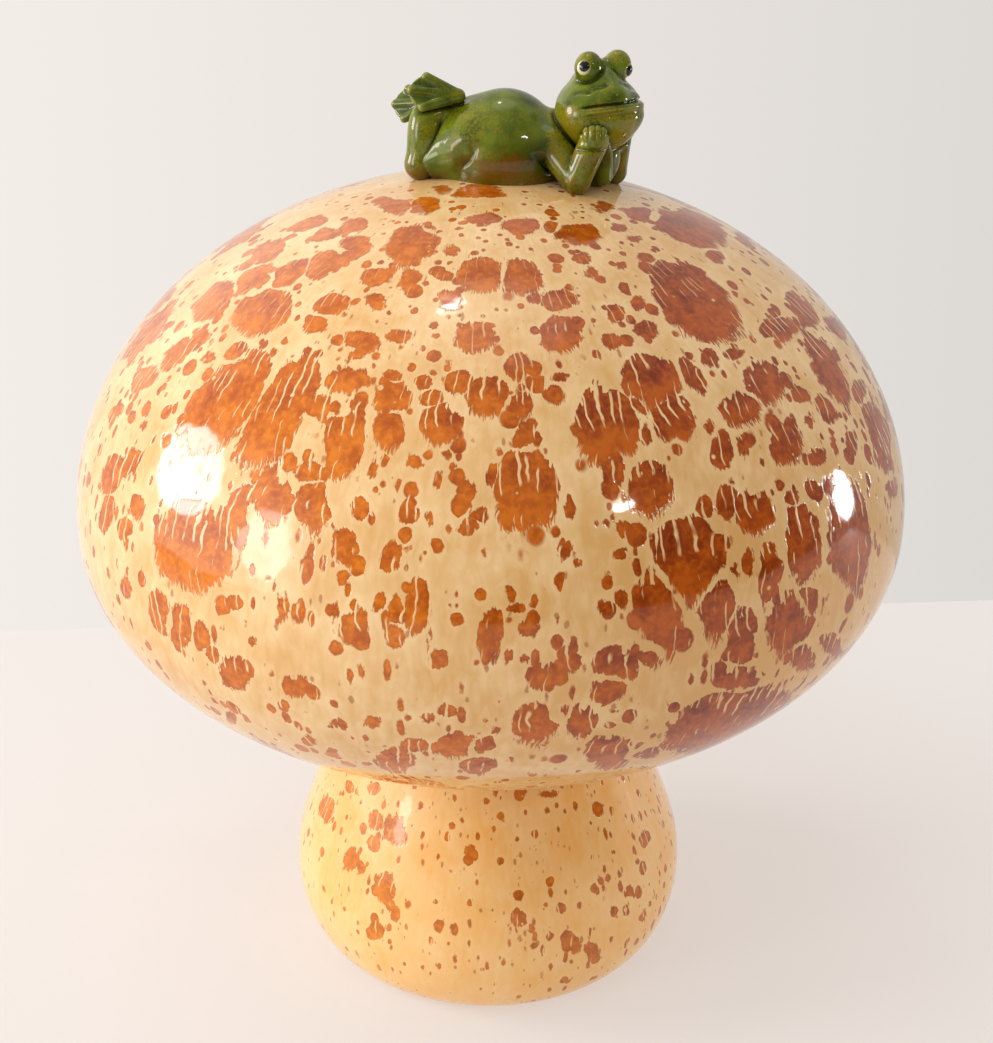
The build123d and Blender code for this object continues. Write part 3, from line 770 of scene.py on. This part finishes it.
def reactive_glaze(name, girth, creams, ambers, right_shade_ambers, rim, fleck, right_shade_depth, cell_size, speck_size,
                   speck_share):
    """Glazed earthenware: cream glaze that broke over an amber one, with painted shade on the right side.
    Colours are hex, two of each from deep to light, sizes are in mm, and girth is the casting's radius."""
    material, tree = new_material(name)
    melt = mix_melt(tree)
    field, frayed = broken_field(tree, melt, cell_size)
    soft = add(tree, "Math", [frayed, 0.8, 0.18], operation="MULTIPLY_ADD")[0]
    hard = add(tree, "Math", [soft, -1.0], operation="MULTIPLY")[0]
    broken = add(tree, "MapRange", [field, hard, soft], interpolation_type="SMOOTHSTEP")[0]
    covered = threads_and_drops(tree, melt, girth)
    clear = add(tree, "Math", [1.0, covered], operation="SUBTRACT")[0]
    broken = add(tree, "Math", [broken, clear], operation="MULTIPLY")[0]
    under = amber_colour(tree, melt, field, ambers, right_shade_ambers, rim)
    over = cream_colour(tree, melt, field, creams, fleck, right_shade_depth, speck_size, speck_share)
    colour = add(tree, "Mix", {0: broken, 6: over, 7: under}, data_type="RGBA")[2]

    # The cream lies about 0.1 mm proud, and the glass itself waves a little
    height = add(tree, "Math", [broken, -0.5, melt.broad], operation="MULTIPLY_ADD")[0]
    bump = add(tree, "Bump", {"Height": height, "Distance": RELIEF * MM, "Strength": 1.0})[0]
    glaze = add(tree, "BsdfPrincipled", {
        "Base Color": colour, "Roughness": 0.07, "IOR": 1.5, "Normal": bump})
    add(tree, "OutputMaterial", {"Surface": glaze[0]})
    print(name, len(tree.nodes), "nodes")
    return material


# The darker right-side ambers and the deeper low right cream are painted shade
cap_glaze = reactive_glaze(
    "cream_over_amber_glaze", cap_radius, creams=("#deab69", "#f2ce98"), ambers=("#a84808", "#dc7a1a"),
    right_shade_ambers=("#7c2802", "#bc580e"), rim="#7a3208", fleck="#a4642e", right_shade_depth=0.5, cell_size=6.0, speck_size=2.4,
    speck_share=0.4)
stem_glaze = reactive_glaze(
    "cream_speckled_glaze", belly_radius, creams=("#f9bb66", "#fed08e"), ambers=("#b85f14", "#ea8a2c"),
    right_shade_ambers=("#a8520e", "#d8761c"), rim="#8a440e", fleck="#a8621c", right_shade_depth=0.0, cell_size=5.0, speck_size=2.0,
    speck_share=0.6)

# %% Bare clay
CLAY_GRAIN = 1.5
CLAY_TOOTH = 0.1

# Earthenware fired without glaze: matt buff clay, with a fine tooth from the plaster mould
bare_clay, tree = new_material("buff_earthenware")
place = add(tree, "TexCoord")["Object"]
grain = add(tree, "TexNoise", {"Vector": place, "Scale": 1 / (CLAY_GRAIN * MM), "Detail": 3.0})["Fac"]
clay = add(tree, "Mix", {0: grain, 6: linear("#cdb393"), 7: linear("#e6d3b8")}, data_type="RGBA")[2]
tooth = add(tree, "Bump", {"Height": grain, "Distance": CLAY_TOOTH * MM, "Strength": 0.6})[0]
body = add(tree, "BsdfPrincipled", {"Base Color": clay, "Roughness": 0.85, "Normal": tooth})
add(tree, "OutputMaterial", {"Surface": body[0]})

for piece, glaze in ((cap_skin, cap_glaze), (stem_skin, stem_glaze)):
    piece.data.materials.append(glaze)
    piece.data.materials.append(bare_clay)
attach(cap_skin, "cap_body")
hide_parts("cap")
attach(stem_skin, "stem_body")
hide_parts("stem")
print("glazed castings:", cap_skin.name, stem_skin.name)

# %% [markdown]
# ## The frog
# A frog like this is modelled by hand before a mould is taken: rolls and balls of clay are pressed together,
# and a tool draws the mouth, the fingers and the webs. Distance formulas do the same. Each form is a ball or
# a tapered bone, a smooth minimum presses two of them together with a crease of a chosen softness, and a
# narrow ripple added to the distance draws a groove. One grid over the blended distance then gives the skin.

# %% Ways to press clay
# Depth and width in mm of a crease, its softness, and the softness where two forms flow into each other
CREASE = 0.8
CREASE_SOFTNESS, FLOW_SOFTNESS = 0.4, 4.0


def ball(points, centre, radii):
    """Nearly the distance to an ellipsoid: k (k - 1) / g, where k is the length of the place over the radii
    and g that of the place over the radii squared."""
    place = points - centre
    k = np.linalg.norm(place / radii, axis=-1)
    g = np.linalg.norm(place / np.square(radii), axis=-1)
    return k * (k - 1) / np.maximum(g, 1e-6)


def bone(points, start, end, start_radius, end_radius):
    """Distance to a tapered rod: from the nearest place along its line, less the radius at that place."""
    line = np.subtract(end, start)
    along = np.clip((points - start) @ line / (line @ line), 0, 1)
    gap = np.linalg.norm(points - start - along[:, None] * line, axis=-1)
    return gap - start_radius - along * (end_radius - start_radius)


def press(first, second, softness):
    """Smooth minimum: the smaller distance, less softness / 4 where both are equal, fading to nothing."""
    meet = np.maximum(softness - np.abs(first - second), 0) / softness
    return np.minimum(first, second) - meet ** 2 * softness / 4


def ripple(distance, width):
    """A groove or ridge of height 1: the bell curve exp(-(distance / width) ** 2)."""
    return np.exp(-np.square(distance / width))


def tuck(body, limb, share=1.0):
    """Presses a limb into a body with a sharp crease, drawn with a tool along the line where they meet; where
    the share is less than 1 the crease fades and the two flow into each other."""
    groove = CREASE * share * ripple(np.maximum(limb, 0), CREASE)
    return press(body + groove, limb, CREASE_SOFTNESS + FLOW_SOFTNESS * (1 - share))


def fade(value, start, end):
    """0 at start and 1 at end, smooth between them."""
    t = np.clip((value - start) / (end - start), 0, 1)
    return t * t * (3 - 2 * t)


print("creases are", CREASE, "mm deep")

# %% Webbed feet
TOE_SPREAD = np.radians(24.0)
TOES = np.array([11.2, 14.2, 11.6])
WEB_NOTCH = 1.02
# Heel in mm from the top of the cap, direction of the toes, and direction that the sole faces
RIGHT_FOOT = np.array([[-8.0, -6.0, 21.6], [-1.0, -0.1, 0.14], [0.0, -0.9, 0.4]])
LEFT_FOOT = np.array([[-14.5, 3.0, 19.0], [-0.85, 0.42, -0.1], [-0.42, -0.8, 0.42]])


def webbed_foot(points, heel, towards, facing):
    """A fan: a sheet whose reach from the heel swings between three toe lengths and the notches of its webs
    with the cosine of the angle, and a tapered toe along each of the three directions."""
    length = towards / np.linalg.norm(towards)
    across = np.cross(facing, length)
    across = across / np.linalg.norm(across)
    normal = np.cross(length, across)
    u, v, w = ((points - heel) @ np.array([length, across, normal]).T).T
    angle = np.arctan2(v, u)
    swing = np.abs(np.cos(np.pi * angle / TOE_SPREAD)) ** 1.5
    tip = np.interp(angle, TOE_SPREAD * np.array([-1, 0, 1]), TOES)
    reach = tip * (WEB_NOTCH + (1 - WEB_NOTCH) * swing)
    wedge = np.abs(v) * np.cos(TOE_SPREAD) - (u + 1.5) * np.sin(TOE_SPREAD)
    sheet = np.abs(w + 0.3) - 1.0 - 0.6 * fade(u, 6.0, 0.0)
    fan = -press(-sheet, -np.maximum(np.hypot(u, v) - reach, wedge), 0.5)
    for turn, toe in zip((-TOE_SPREAD, 0.0, TOE_SPREAD), TOES):
        end = heel + (length * np.cos(turn) + across * np.sin(turn)) * (toe - 0.9) + normal * 0.4
        fan = press(fan, bone(points, heel, end, 1.9, 1.3), 0.5)
    return fan


print("longest toe:", TOES.max(), "mm")

# %% Head
HEAD_TURN = np.radians(65.0)
HEAD_CENTRE = np.array([30.8, -8.5, 18.0])
# Middle and radii of balls, and ends and radii of a bone, in mm in the head's own frame: ahead, left and up
SKULL = ([0.0, 0.0, 0.0], [10.3, 12.2, 10.0])
MUZZLE = ([4.6, 0.0, -1.0], [7.6, 11.6, 7.6])
JAW = ([1.5, 0.0, -4.5], [8.5, 9.5, 7.0])
BROW = ([-1.0, 0.4, 8.2], [5.5, 6.5, 5.0])
BRIDGE = ([2.0, 0.4, 9.5], [8.6, 0.3, 4.4], 3.4, 3.2)
EYE_BUMP = 3.9
EYE_BUMPS = np.array([[2.0, -4.1, 11.5], [2.0, 4.9, 11.5]])

head_forward = np.array([np.cos(HEAD_TURN), -np.sin(HEAD_TURN), 0.0])
head_left = np.array([np.sin(HEAD_TURN), np.cos(HEAD_TURN), 0.0])
upright = np.array([0.0, 0.0, 1.0])
head_axes = np.array([head_forward, head_left, upright])


def head_form(points):
    """Skull, muzzle, jaw, brow, bridge and two eye bumps pressed together, with creases under the eyes and
    in the cheeks, and a mouth groove over a narrow lip."""
    local = (points - HEAD_CENTRE) @ head_axes.T
    ahead, aside, above = local.T
    form = press(ball(local, *SKULL), ball(local, *MUZZLE), 3.0)
    form = press(form, ball(local, *JAW), 2.0)
    form = press(form, ball(local, *BROW), 3.0)
    form = press(form, bone(local, *BRIDGE), 3.0)
    for bump_centre, hand in zip(EYE_BUMPS, (-1, 1)):
        bump = ball(local, bump_centre, [EYE_BUMP, EYE_BUMP, EYE_BUMP + 0.4])
        under = fade(above, bump_centre[2] + 2.0, bump_centre[2] - 1.5) * fade(ahead, 1.0, 4.0)
        form = press(form + 1.0 * under * ripple(bump - 0.1, 0.8), bump, 1.4)
        cheek = bone(local, [8.4, hand * 2.4, 7.4], [7.0, hand * 5.0, 7.2], 0.0, 0.0)
        jowl = bone(local, [6.9, hand * 6.5, 6.0], [4.6, hand * 9.3, 5.6], 0.0, 0.0)
        form = form + 0.8 * ripple(cheek, 0.9) + 0.7 * ripple(jowl, 0.9)
    mouth = 2.7 + 0.05 * aside - 0.006 * aside ** 2
    front = fade(ahead, -1.0, 2.0) * fade(np.abs(aside - 1.0), 11.5, 8.5)
    form = form - 0.35 * front * ripple(above - mouth + 1.1, 0.9)
    return form + front * (1.2 * ripple(above - mouth, 0.36) + 0.4 * ripple(above - mouth + 2.7, 0.9))


print("the head looks", round(float(np.degrees(HEAD_TURN))), "degrees to the frog's right")

# %% Limbs
# Three joints in mm from the top of the cap; elbows and knees are laid on the cap below
RIGHT_ARM = np.array([[18.0, -12.5, 9.0], [25.0, -19.0, 0.0], [29.5, -20.0, 11.0]])
LEFT_ARM = np.array([[20.0, 5.0, 9.0], [37.0, 4.0, 0.0], [38.0, -5.0, 10.5]])
RIGHT_LEG = np.array([[-4.5, -8.0, 8.3], [-19.0, -5.0, 0.0], [-16.0, -4.0, 17.0]])
LEFT_LEG = np.array([[-3.0, 5.0, 6.5], [-16.5, 7.0, 0.0], [-15.0, 4.5, 16.0]])
# Radii in mm along an arm and along a leg
ARM_TOP, ELBOW, RIGHT_WRIST, LEFT_WRIST = 4.9, 3.9, 4.1, 3.2
HIP, KNEE, SHIN_TOP = 8.0, 4.7, 4.2
FINGER = 1.75
JOINT_SINK = 0.6

for limb_line, joint_radius in ((RIGHT_ARM, ELBOW), (LEFT_ARM, ELBOW), (RIGHT_LEG, KNEE), (LEFT_LEG, KNEE)):
    flat = np.hypot(*limb_line[1, :2]) / cap_radius
    limb_line[1, 2] = CROWN_HEIGHT * (np.sqrt(1 - flat ** 2) - 1) + joint_radius - JOINT_SINK


def arm_form(points, line, wrist_radius):
    """Upper arm and forearm with a crease between them, and a fist whose fingers are drawn with ripples."""
    form = bone(points, line[0], line[1], ARM_TOP, ELBOW)
    form = press(form, bone(points, line[1], line[2], ELBOW, wrist_radius), 0.4)
    across, _, above = (points - line[2]).T
    fist = ball(points, line[2] + [0.0, -0.4, 1.6], [4.1, 3.8, 3.6])
    fingers = 0.5 + 0.5 * np.cos(2 * np.pi * across / FINGER)
    fist = fist + 0.5 * fade(above, 0.0, 1.5) * fingers ** 5
    wrist = fade(points[:, 1] - line[2, 1], 0.0, -1.5)
    return press(form, fist, 0.3) + 0.9 * wrist * ripple(above + 2.0, 0.5)


def shin_form(points, line):
    """A tapered rod up from the knee, with a calf that swells it."""
    rod = bone(points, line[1], line[2], KNEE, SHIN_TOP)
    return press(rod, ball(points, (line[1] + line[2]) / 2, [5.2, 5.2, 10.5]), 1.0)


joint_heights = [round(float(line[1, 2]), 1) for line in (RIGHT_ARM, LEFT_ARM, RIGHT_LEG, LEFT_LEG)]
print("elbows and knees rest at", joint_heights, "mm from the top of the cap")

# %% The whole frog
CAP_SINK = 0.5
# Middle and radii of balls, and ends and radii of bones, in mm from the top of the cap
BACK = ([5.0, -3.0, 5.0], [17.0, 16.3, 18.3])
RUMP = ([-4.0, -2.0, 9.3], [11.5, 10.5, 11.5])
THROAT = ([16.0, -4.0, 10.0], [26.0, -7.5, 13.0], 7.0, 6.5)
CHEST = ([31.0, -6.5, 5.0], [7.0, 6.5, 9.0])
THUMB = ([33.2, -18.8, 13.5], [33.0, -11.0, 0.0], 1.5, 2.6)
ANKLE = ([-12.5, -4.0, 16.5], [-8.5, -4.5, 18.5], 3.0, 2.6)

cap_radii = np.array([cap_radius, cap_radius, CROWN_HEIGHT])


def frog(points):
    """Signed distance in mm of the whole frog, places counted from the top of the cap."""
    low_part = fade(points[:, 2], 8.0, 4.0)
    hip_fold = fade(points[:, 2], 12.0, 7.0) * fade(points[:, 0], -10.0, -5.0)
    form = press(ball(points, *BACK), ball(points, *RUMP), 3.0)
    form = press(form, bone(points, *THROAT), 2.5)
    form = press(form, ball(points, *CHEST), 2.0)
    for line in (RIGHT_LEG, LEFT_LEG):
        form = tuck(form, bone(points, line[0], line[1], HIP, KNEE), hip_fold)
        form = tuck(form, shin_form(points, line))
    form = tuck(form, arm_form(points, RIGHT_ARM, RIGHT_WRIST), low_part)
    form = tuck(form, arm_form(points, LEFT_ARM, LEFT_WRIST), low_part)
    form = press(form, bone(points, *THUMB), 0.4)
    form = press(form, bone(points, *ANKLE), 1.5)
    form = tuck(form, head_form(points))
    form = tuck(form, webbed_foot(points, *RIGHT_FOOT))
    form = tuck(form, webbed_foot(points, *LEFT_FOOT))
    under_cap = -ball(points, [0.0, 0.0, -CROWN_HEIGHT], cap_radii) - CAP_SINK
    return np.maximum(form, under_cap)


print("the frog sinks", CAP_SINK, "mm into the cap")

# %% Skin over the forms
FROG_LOW = np.array([-32.0, -27.0, -10.0])
FROG_HIGH = np.array([47.0, 19.0, 36.0])
SKIN_STEP = 0.42
# Slabs that the grid is worked out in, slides onto the surface, length in mm over which the slope is measured
# to each side, and the least slope squared that a slide trusts
SLABS, SLIDES, PROBE, LEAST_SLOPE = 16, 3, 0.05, 0.2


def skin(distance, low, high, step):
    """Surface net: a grid cell that the surface crosses gets one point, the mean of the crossings on its 12
    edges, and each crossed grid edge gets a quad between its four cells. The points then slide down the
    distance's slope onto the surface."""
    ticks = [np.arange(a, b, step) for a, b in zip(low, high)]
    grid = np.stack(np.meshgrid(*ticks, indexing="ij"), -1)
    slabs = [distance(slab.reshape(-1, 3)).reshape(slab.shape[:-1]) for slab in np.array_split(grid, SLABS)]
    values = np.concatenate(slabs)
    size = np.array(values.shape) - 1
    corners = np.array([[i, j, k] for i in (0, 1) for j in (0, 1) for k in (0, 1)])
    at = [values[i:i + size[0], j:j + size[1], k:k + size[2]] for i, j, k in corners]
    inside = sum((value < 0).astype(np.int8) for value in at)
    mixed = (inside > 0) & (inside < 8)
    at = np.array([value[mixed] for value in at])
    total = np.zeros((at.shape[1], 3))
    count = np.zeros((at.shape[1], 1))
    for a in range(8):
        for b in range(a + 1, 8):
            if np.abs(corners[a] - corners[b]).sum() == 1:
                crossed = (at[a] < 0) != (at[b] < 0)
                share = np.where(crossed, at[a] / np.where(crossed, at[a] - at[b], 1), 0)[:, None]
                total += crossed[:, None] * (corners[a] + share * (corners[b] - corners[a]))
                count += crossed[:, None]
    points = low + step * (np.argwhere(mixed) + total / count)
    number = np.full(tuple(size), -1)
    number[mixed] = np.arange(len(points))
    quads = []
    for axis in range(3):
        solid = np.moveaxis(values, axis, 0) < 0
        cell = np.moveaxis(number, axis, 0)
        i, j, k = np.nonzero(solid[:-1, 1:-1, 1:-1] != solid[1:, 1:-1, 1:-1])
        quad = np.column_stack([cell[i, j, k], cell[i, j + 1, k], cell[i, j + 1, k + 1], cell[i, j, k + 1]])
        leaving = solid[i, j + 1, k + 1] != (axis == 1)
        quads.append(np.where(leaving[:, None], quad, quad[:, ::-1]))
    for _ in range(SLIDES):
        slope = np.column_stack([
            distance(points + shift) - distance(points - shift) for shift in PROBE * np.eye(3)]) / (2 * PROBE)
        points = points - (distance(points) / np.maximum((slope ** 2).sum(1), LEAST_SLOPE))[:, None] * slope
    return points, np.vstack(quads)


frog_points, frog_quads = skin(frog, FROG_LOW, FROG_HIGH, SKIN_STEP)
frog_skin = link_piece("frog_glazed", frog_points + [0, 0, apex], frog_quads.tolist())
print("frog:", len(frog_points), "points,", 2 * len(frog_quads), "triangles")

# %% [markdown]
# ## The frog's glaze
# The green glaze is a tinted glass. It pools dark in creases, breaks light over ridges and lets rusty brown
# show where it was brushed thin: under the chin, along the belly and on the elbows. So each point keeps how
# hollow its surroundings are, with painted shade added on the torso's right side, and how much rust it may
# show.

# %% Where the frog's glaze is deep, gold or rusty, and where shade is painted
HOLLOW_REACH = 1.3


def store(piece, name, values):
    """One number per point."""
    piece.data.attributes.new(name, "FLOAT", "POINT").data.foreach_set("value", values.astype(np.float32))


steps = HOLLOW_REACH * np.vstack([np.eye(3), -np.eye(3)])
roundness = sum(frog(frog_points + step) for step in steps) / (6 * HOLLOW_REACH)
ahead, aside, above = ((frog_points - HEAD_CENTRE) @ head_axes.T).T
on_head = fade(np.sqrt((ahead / 13) ** 2 + (aside / 14) ** 2 + (above / 13) ** 2), 1.05, 0.9)
on_belly = fade(frog_points[:, 1], -8.0, -16.0) * ripple(frog_points[:, 2] - 5.0, 6.0)
on_belly = on_belly * (0.5 + 0.5 * ripple(frog_points[:, 0] - 3.0, 10.0))
low_down = fade(frog_points[:, 2] + 0.08 * np.hypot(frog_points[:, 0], frog_points[:, 1]), 7.0, 2.0)
jaw = on_head * fade(above, 3.5, 0.0)
crown = fade(above, 10.0, 14.0)
between_arms = ripple(np.linalg.norm(frog_points - [36.0, -8.0, 4.0], axis=1), 7.0)
arms = np.minimum(
    arm_form(frog_points, RIGHT_ARM, RIGHT_WRIST), arm_form(frog_points, LEFT_ARM, LEFT_WRIST))
arms = fade(arms, 0.6, 0.0)
shins = fade(np.minimum(shin_form(frog_points, RIGHT_LEG), shin_form(frog_points, LEFT_LEG)), 0.6, 0.0)
flank = ripple(np.linalg.norm(frog_points - [-4.0, -12.0, 13.0], axis=1), 6.0)
# Painted shade: a dark patch on the torso's right side, added to the hollow measure
shade = ripple(np.linalg.norm(frog_points - [14.5, -16.0, 7.0], axis=1), 5.0)
store(frog_skin, "hollow_and_shade", -roundness + 0.3 * shade)
store(frog_skin, "rust", np.maximum.reduce([
    0.55 * jaw * fade(aside, 4.0, -6.0), on_belly, 0.75 * low_down, between_arms]))
store(frog_skin, "gold", np.maximum.reduce([jaw, 0.5 * arms, 0.4 * shins, 0.7 * flank, 0.5 * crown]))
print("hollow from", round(float(-roundness.max()), 2), "on ridges to", round(float(-roundness.min()), 2))

# %% Green glaze
# Sizes in mm: clouds, blotches where the brush left less, and dots
GREEN_CLOUD, BLOTCH, DOT = 8.0, 5.5, 0.7
GLASS_WAVE = 0.25

# Green glaze brushed over white earthenware: glossy, deep in the hollows, gold and rust where it is thin,
# with painted shade on the torso's right side
green, tree = new_material("green_glaze")
place = add(tree, "TexCoord")["Object"]
place = add(tree, "Mapping", {"Vector": place, "Scale": (1 / MM, 1 / MM, 1 / MM)})[0]
hollow_and_shade, rust, gold = (
    add(tree, "Attribute", attribute_name=name)["Fac"] for name in ("hollow_and_shade", "rust", "gold"))
cloud = add(tree, "TexNoise", {"Vector": place, "Scale": 1 / GREEN_CLOUD, "Detail": 3.0})["Fac"]
cloud = add(tree, "MapRange", [cloud, 0.35, 0.65])[0]
colour = add(tree, "Mix", {0: cloud, 6: linear("#3c4907"), 7: linear("#667416")}, data_type="RGBA")[2]
blotch = add(tree, "TexNoise", {"Vector": place, "Scale": 1 / BLOTCH, "Detail": 2.0})["Fac"]
dots = add(tree, "TexNoise", {"Vector": place, "Scale": 1 / DOT, "Detail": 2.0})["Fac"]
mottle = add(tree, "Math", [blotch, dots], operation="ADD")[0]
gold = add(tree, "Math", [gold, 0.5, mottle], operation="MULTIPLY_ADD")[0]
rust = add(tree, "Math", [rust, 0.5, mottle], operation="MULTIPLY_ADD")[0]
# What lies over the green: its measure, where it starts and is full, its share there, and its colour. These
# are gold and rust where the glaze is thin, light over the ridges, and dark pools in the hollows, which also
# carry the painted shade on the torso's right side
for measure, start, end, share, tint in (
        (gold, 1.05, 1.65, 0.9, "#988a16"), (rust, 1.2, 1.6, 0.9, "#6e4606"),
        (hollow_and_shade, -0.16, -0.36, 0.6, "#a3a038"), (hollow_and_shade, 0.0, 0.3, 0.9, "#23290a")):
    shown = add(tree, "MapRange", [measure, start, end, 0.0, share])[0]
    colour = add(tree, "Mix", {0: shown, 6: colour, 7: linear(tint)}, data_type="RGBA")[2]
wave = add(tree, "Bump", {"Height": blotch, "Distance": GLASS_WAVE * MM, "Strength": 0.6})[0]
glaze = add(tree, "BsdfPrincipled", {"Base Color": colour, "Roughness": 0.06, "IOR": 1.42, "Normal": wave})
add(tree, "OutputMaterial", {"Surface": glaze[0]})
frog_skin.data.materials.append(green)
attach(frog_skin, "cap_body")
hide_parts("frog_torso", "frog_head", "frog_right_arm", "frog_left_arm", "frog_right_leg",
            "frog_left_leg", "frog_right_foot", "frog_left_foot")
print(green.name, len(tree.nodes), "nodes")

# %% [markdown]
# ## The eyes
# Each eye is a bead of white glaze with a dot of black on it, let into the front of its bump. It is part of
# a sphere that stands a little proud of the bump. Each point keeps its angle from the middle of the pupil.

# %% Eyes
EYE_RADIUS = 2.3
EYE_PROUD = 0.7
PUPIL_SHIFT = np.radians(16.0)
EYE_RINGS, EYE_TURNS = 24, 48
# Turn to the head's left and lift of each eye's axis: right eye, left eye
EYE_TURNS_OUT = np.radians([-50.0, 36.0])
EYE_LIFTS = np.radians([6.0, -20.0])
# Angle from its axis to which a bead goes, and shares of up and of inwards in the pupil's shift
EYE_REACH = np.radians(100.0)
PUPIL_SHARE = 0.7
# Angles in degrees over which the black dot ends and the white turns green
DOT_EDGE = (38.0, 42.0)
WHITE_EDGE = (46.0, 64.0)


def eye_bead(bump_centre, hand, turn, lift):
    """Part of a sphere: ring i and turn j stand at polar angle EYE_REACH i / rings from the eye's axis."""
    level = head_forward * np.cos(turn) + head_left * np.sin(turn)
    axis = level * np.cos(lift) + upright * np.sin(lift)
    side = np.cross(upright, axis) / np.linalg.norm(np.cross(upright, axis))
    over = np.cross(axis, side)
    polar = EYE_REACH * np.arange(1, EYE_RINGS + 1)[:, None, None] / EYE_RINGS
    spin = 2 * np.pi * np.arange(EYE_TURNS)[None, :, None] / EYE_TURNS
    rays = axis * np.cos(polar) + np.sin(polar) * (side * np.cos(spin) + over * np.sin(spin))
    rays = np.vstack([rays.reshape(-1, 3), axis, -axis])
    centre = HEAD_CENTRE + bump_centre @ head_axes + axis * (EYE_BUMP + EYE_PROUD - EYE_RADIUS)
    rows = np.arange(EYE_RINGS * EYE_TURNS).reshape(EYE_RINGS, EYE_TURNS)
    nxt = np.roll(rows, -1, axis=1)
    quads = np.stack([rows[:-1], rows[1:], nxt[1:], nxt[:-1]], -1).reshape(-1, 4)
    front = np.column_stack([np.full(EYE_TURNS, rows.size), rows[0], nxt[0]])
    back = np.column_stack([nxt[-1], rows[-1], np.full(EYE_TURNS, rows.size + 1)])
    lid = (over * PUPIL_SHARE - hand * side * PUPIL_SHARE) * np.sin(PUPIL_SHIFT)
    angles = [np.degrees(np.arccos(rays @ (axis * np.cos(PUPIL_SHIFT) + shift))) for shift in (lid, -lid)]
    return centre + EYE_RADIUS * rays, front.tolist() + quads.tolist() + back.tolist(), angles


beads = [eye_bead(*eye) for eye in zip(EYE_BUMPS, (-1, 1), EYE_TURNS_OUT, EYE_LIFTS)]
offset = len(beads[0][0])
eye_faces = beads[0][1] + [[index + offset for index in face] for face in beads[1][1]]
eyes = link_piece("frog_eye_beads", np.vstack([bead[0] for bead in beads]) + [0, 0, apex], eye_faces)
store(eyes, "off_pupil", np.concatenate([bead[2][0] for bead in beads]))
store(eyes, "off_white", np.concatenate([bead[2][1] for bead in beads]))

# White glaze with a dot of black under-glaze colour, brushed on before the firing
white, tree = new_material("white_glaze_black_dot")
off_pupil, off_white = (
    add(tree, "Attribute", attribute_name=name)["Fac"] for name in ("off_pupil", "off_white"))
dot = add(tree, "MapRange", [off_pupil, *DOT_EDGE])[0]
greened = add(tree, "MapRange", [off_white, *WHITE_EDGE])[0]
colour = add(tree, "Mix", {0: greened, 6: linear("#e3dfb4"), 7: linear("#8d9440")}, data_type="RGBA")[2]
colour = add(tree, "Mix", {0: dot, 6: linear("#0e0d0b"), 7: colour}, data_type="RGBA")[2]
bead = add(tree, "BsdfPrincipled", {"Base Color": colour, "Roughness": 0.05, "IOR": 1.52})
add(tree, "OutputMaterial", {"Surface": bead[0]})
eyes.data.materials.append(white)
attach(eyes, "cap_body")
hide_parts("frog_eyes")
print("eyes:", len(eyes.data.polygons), "faces")
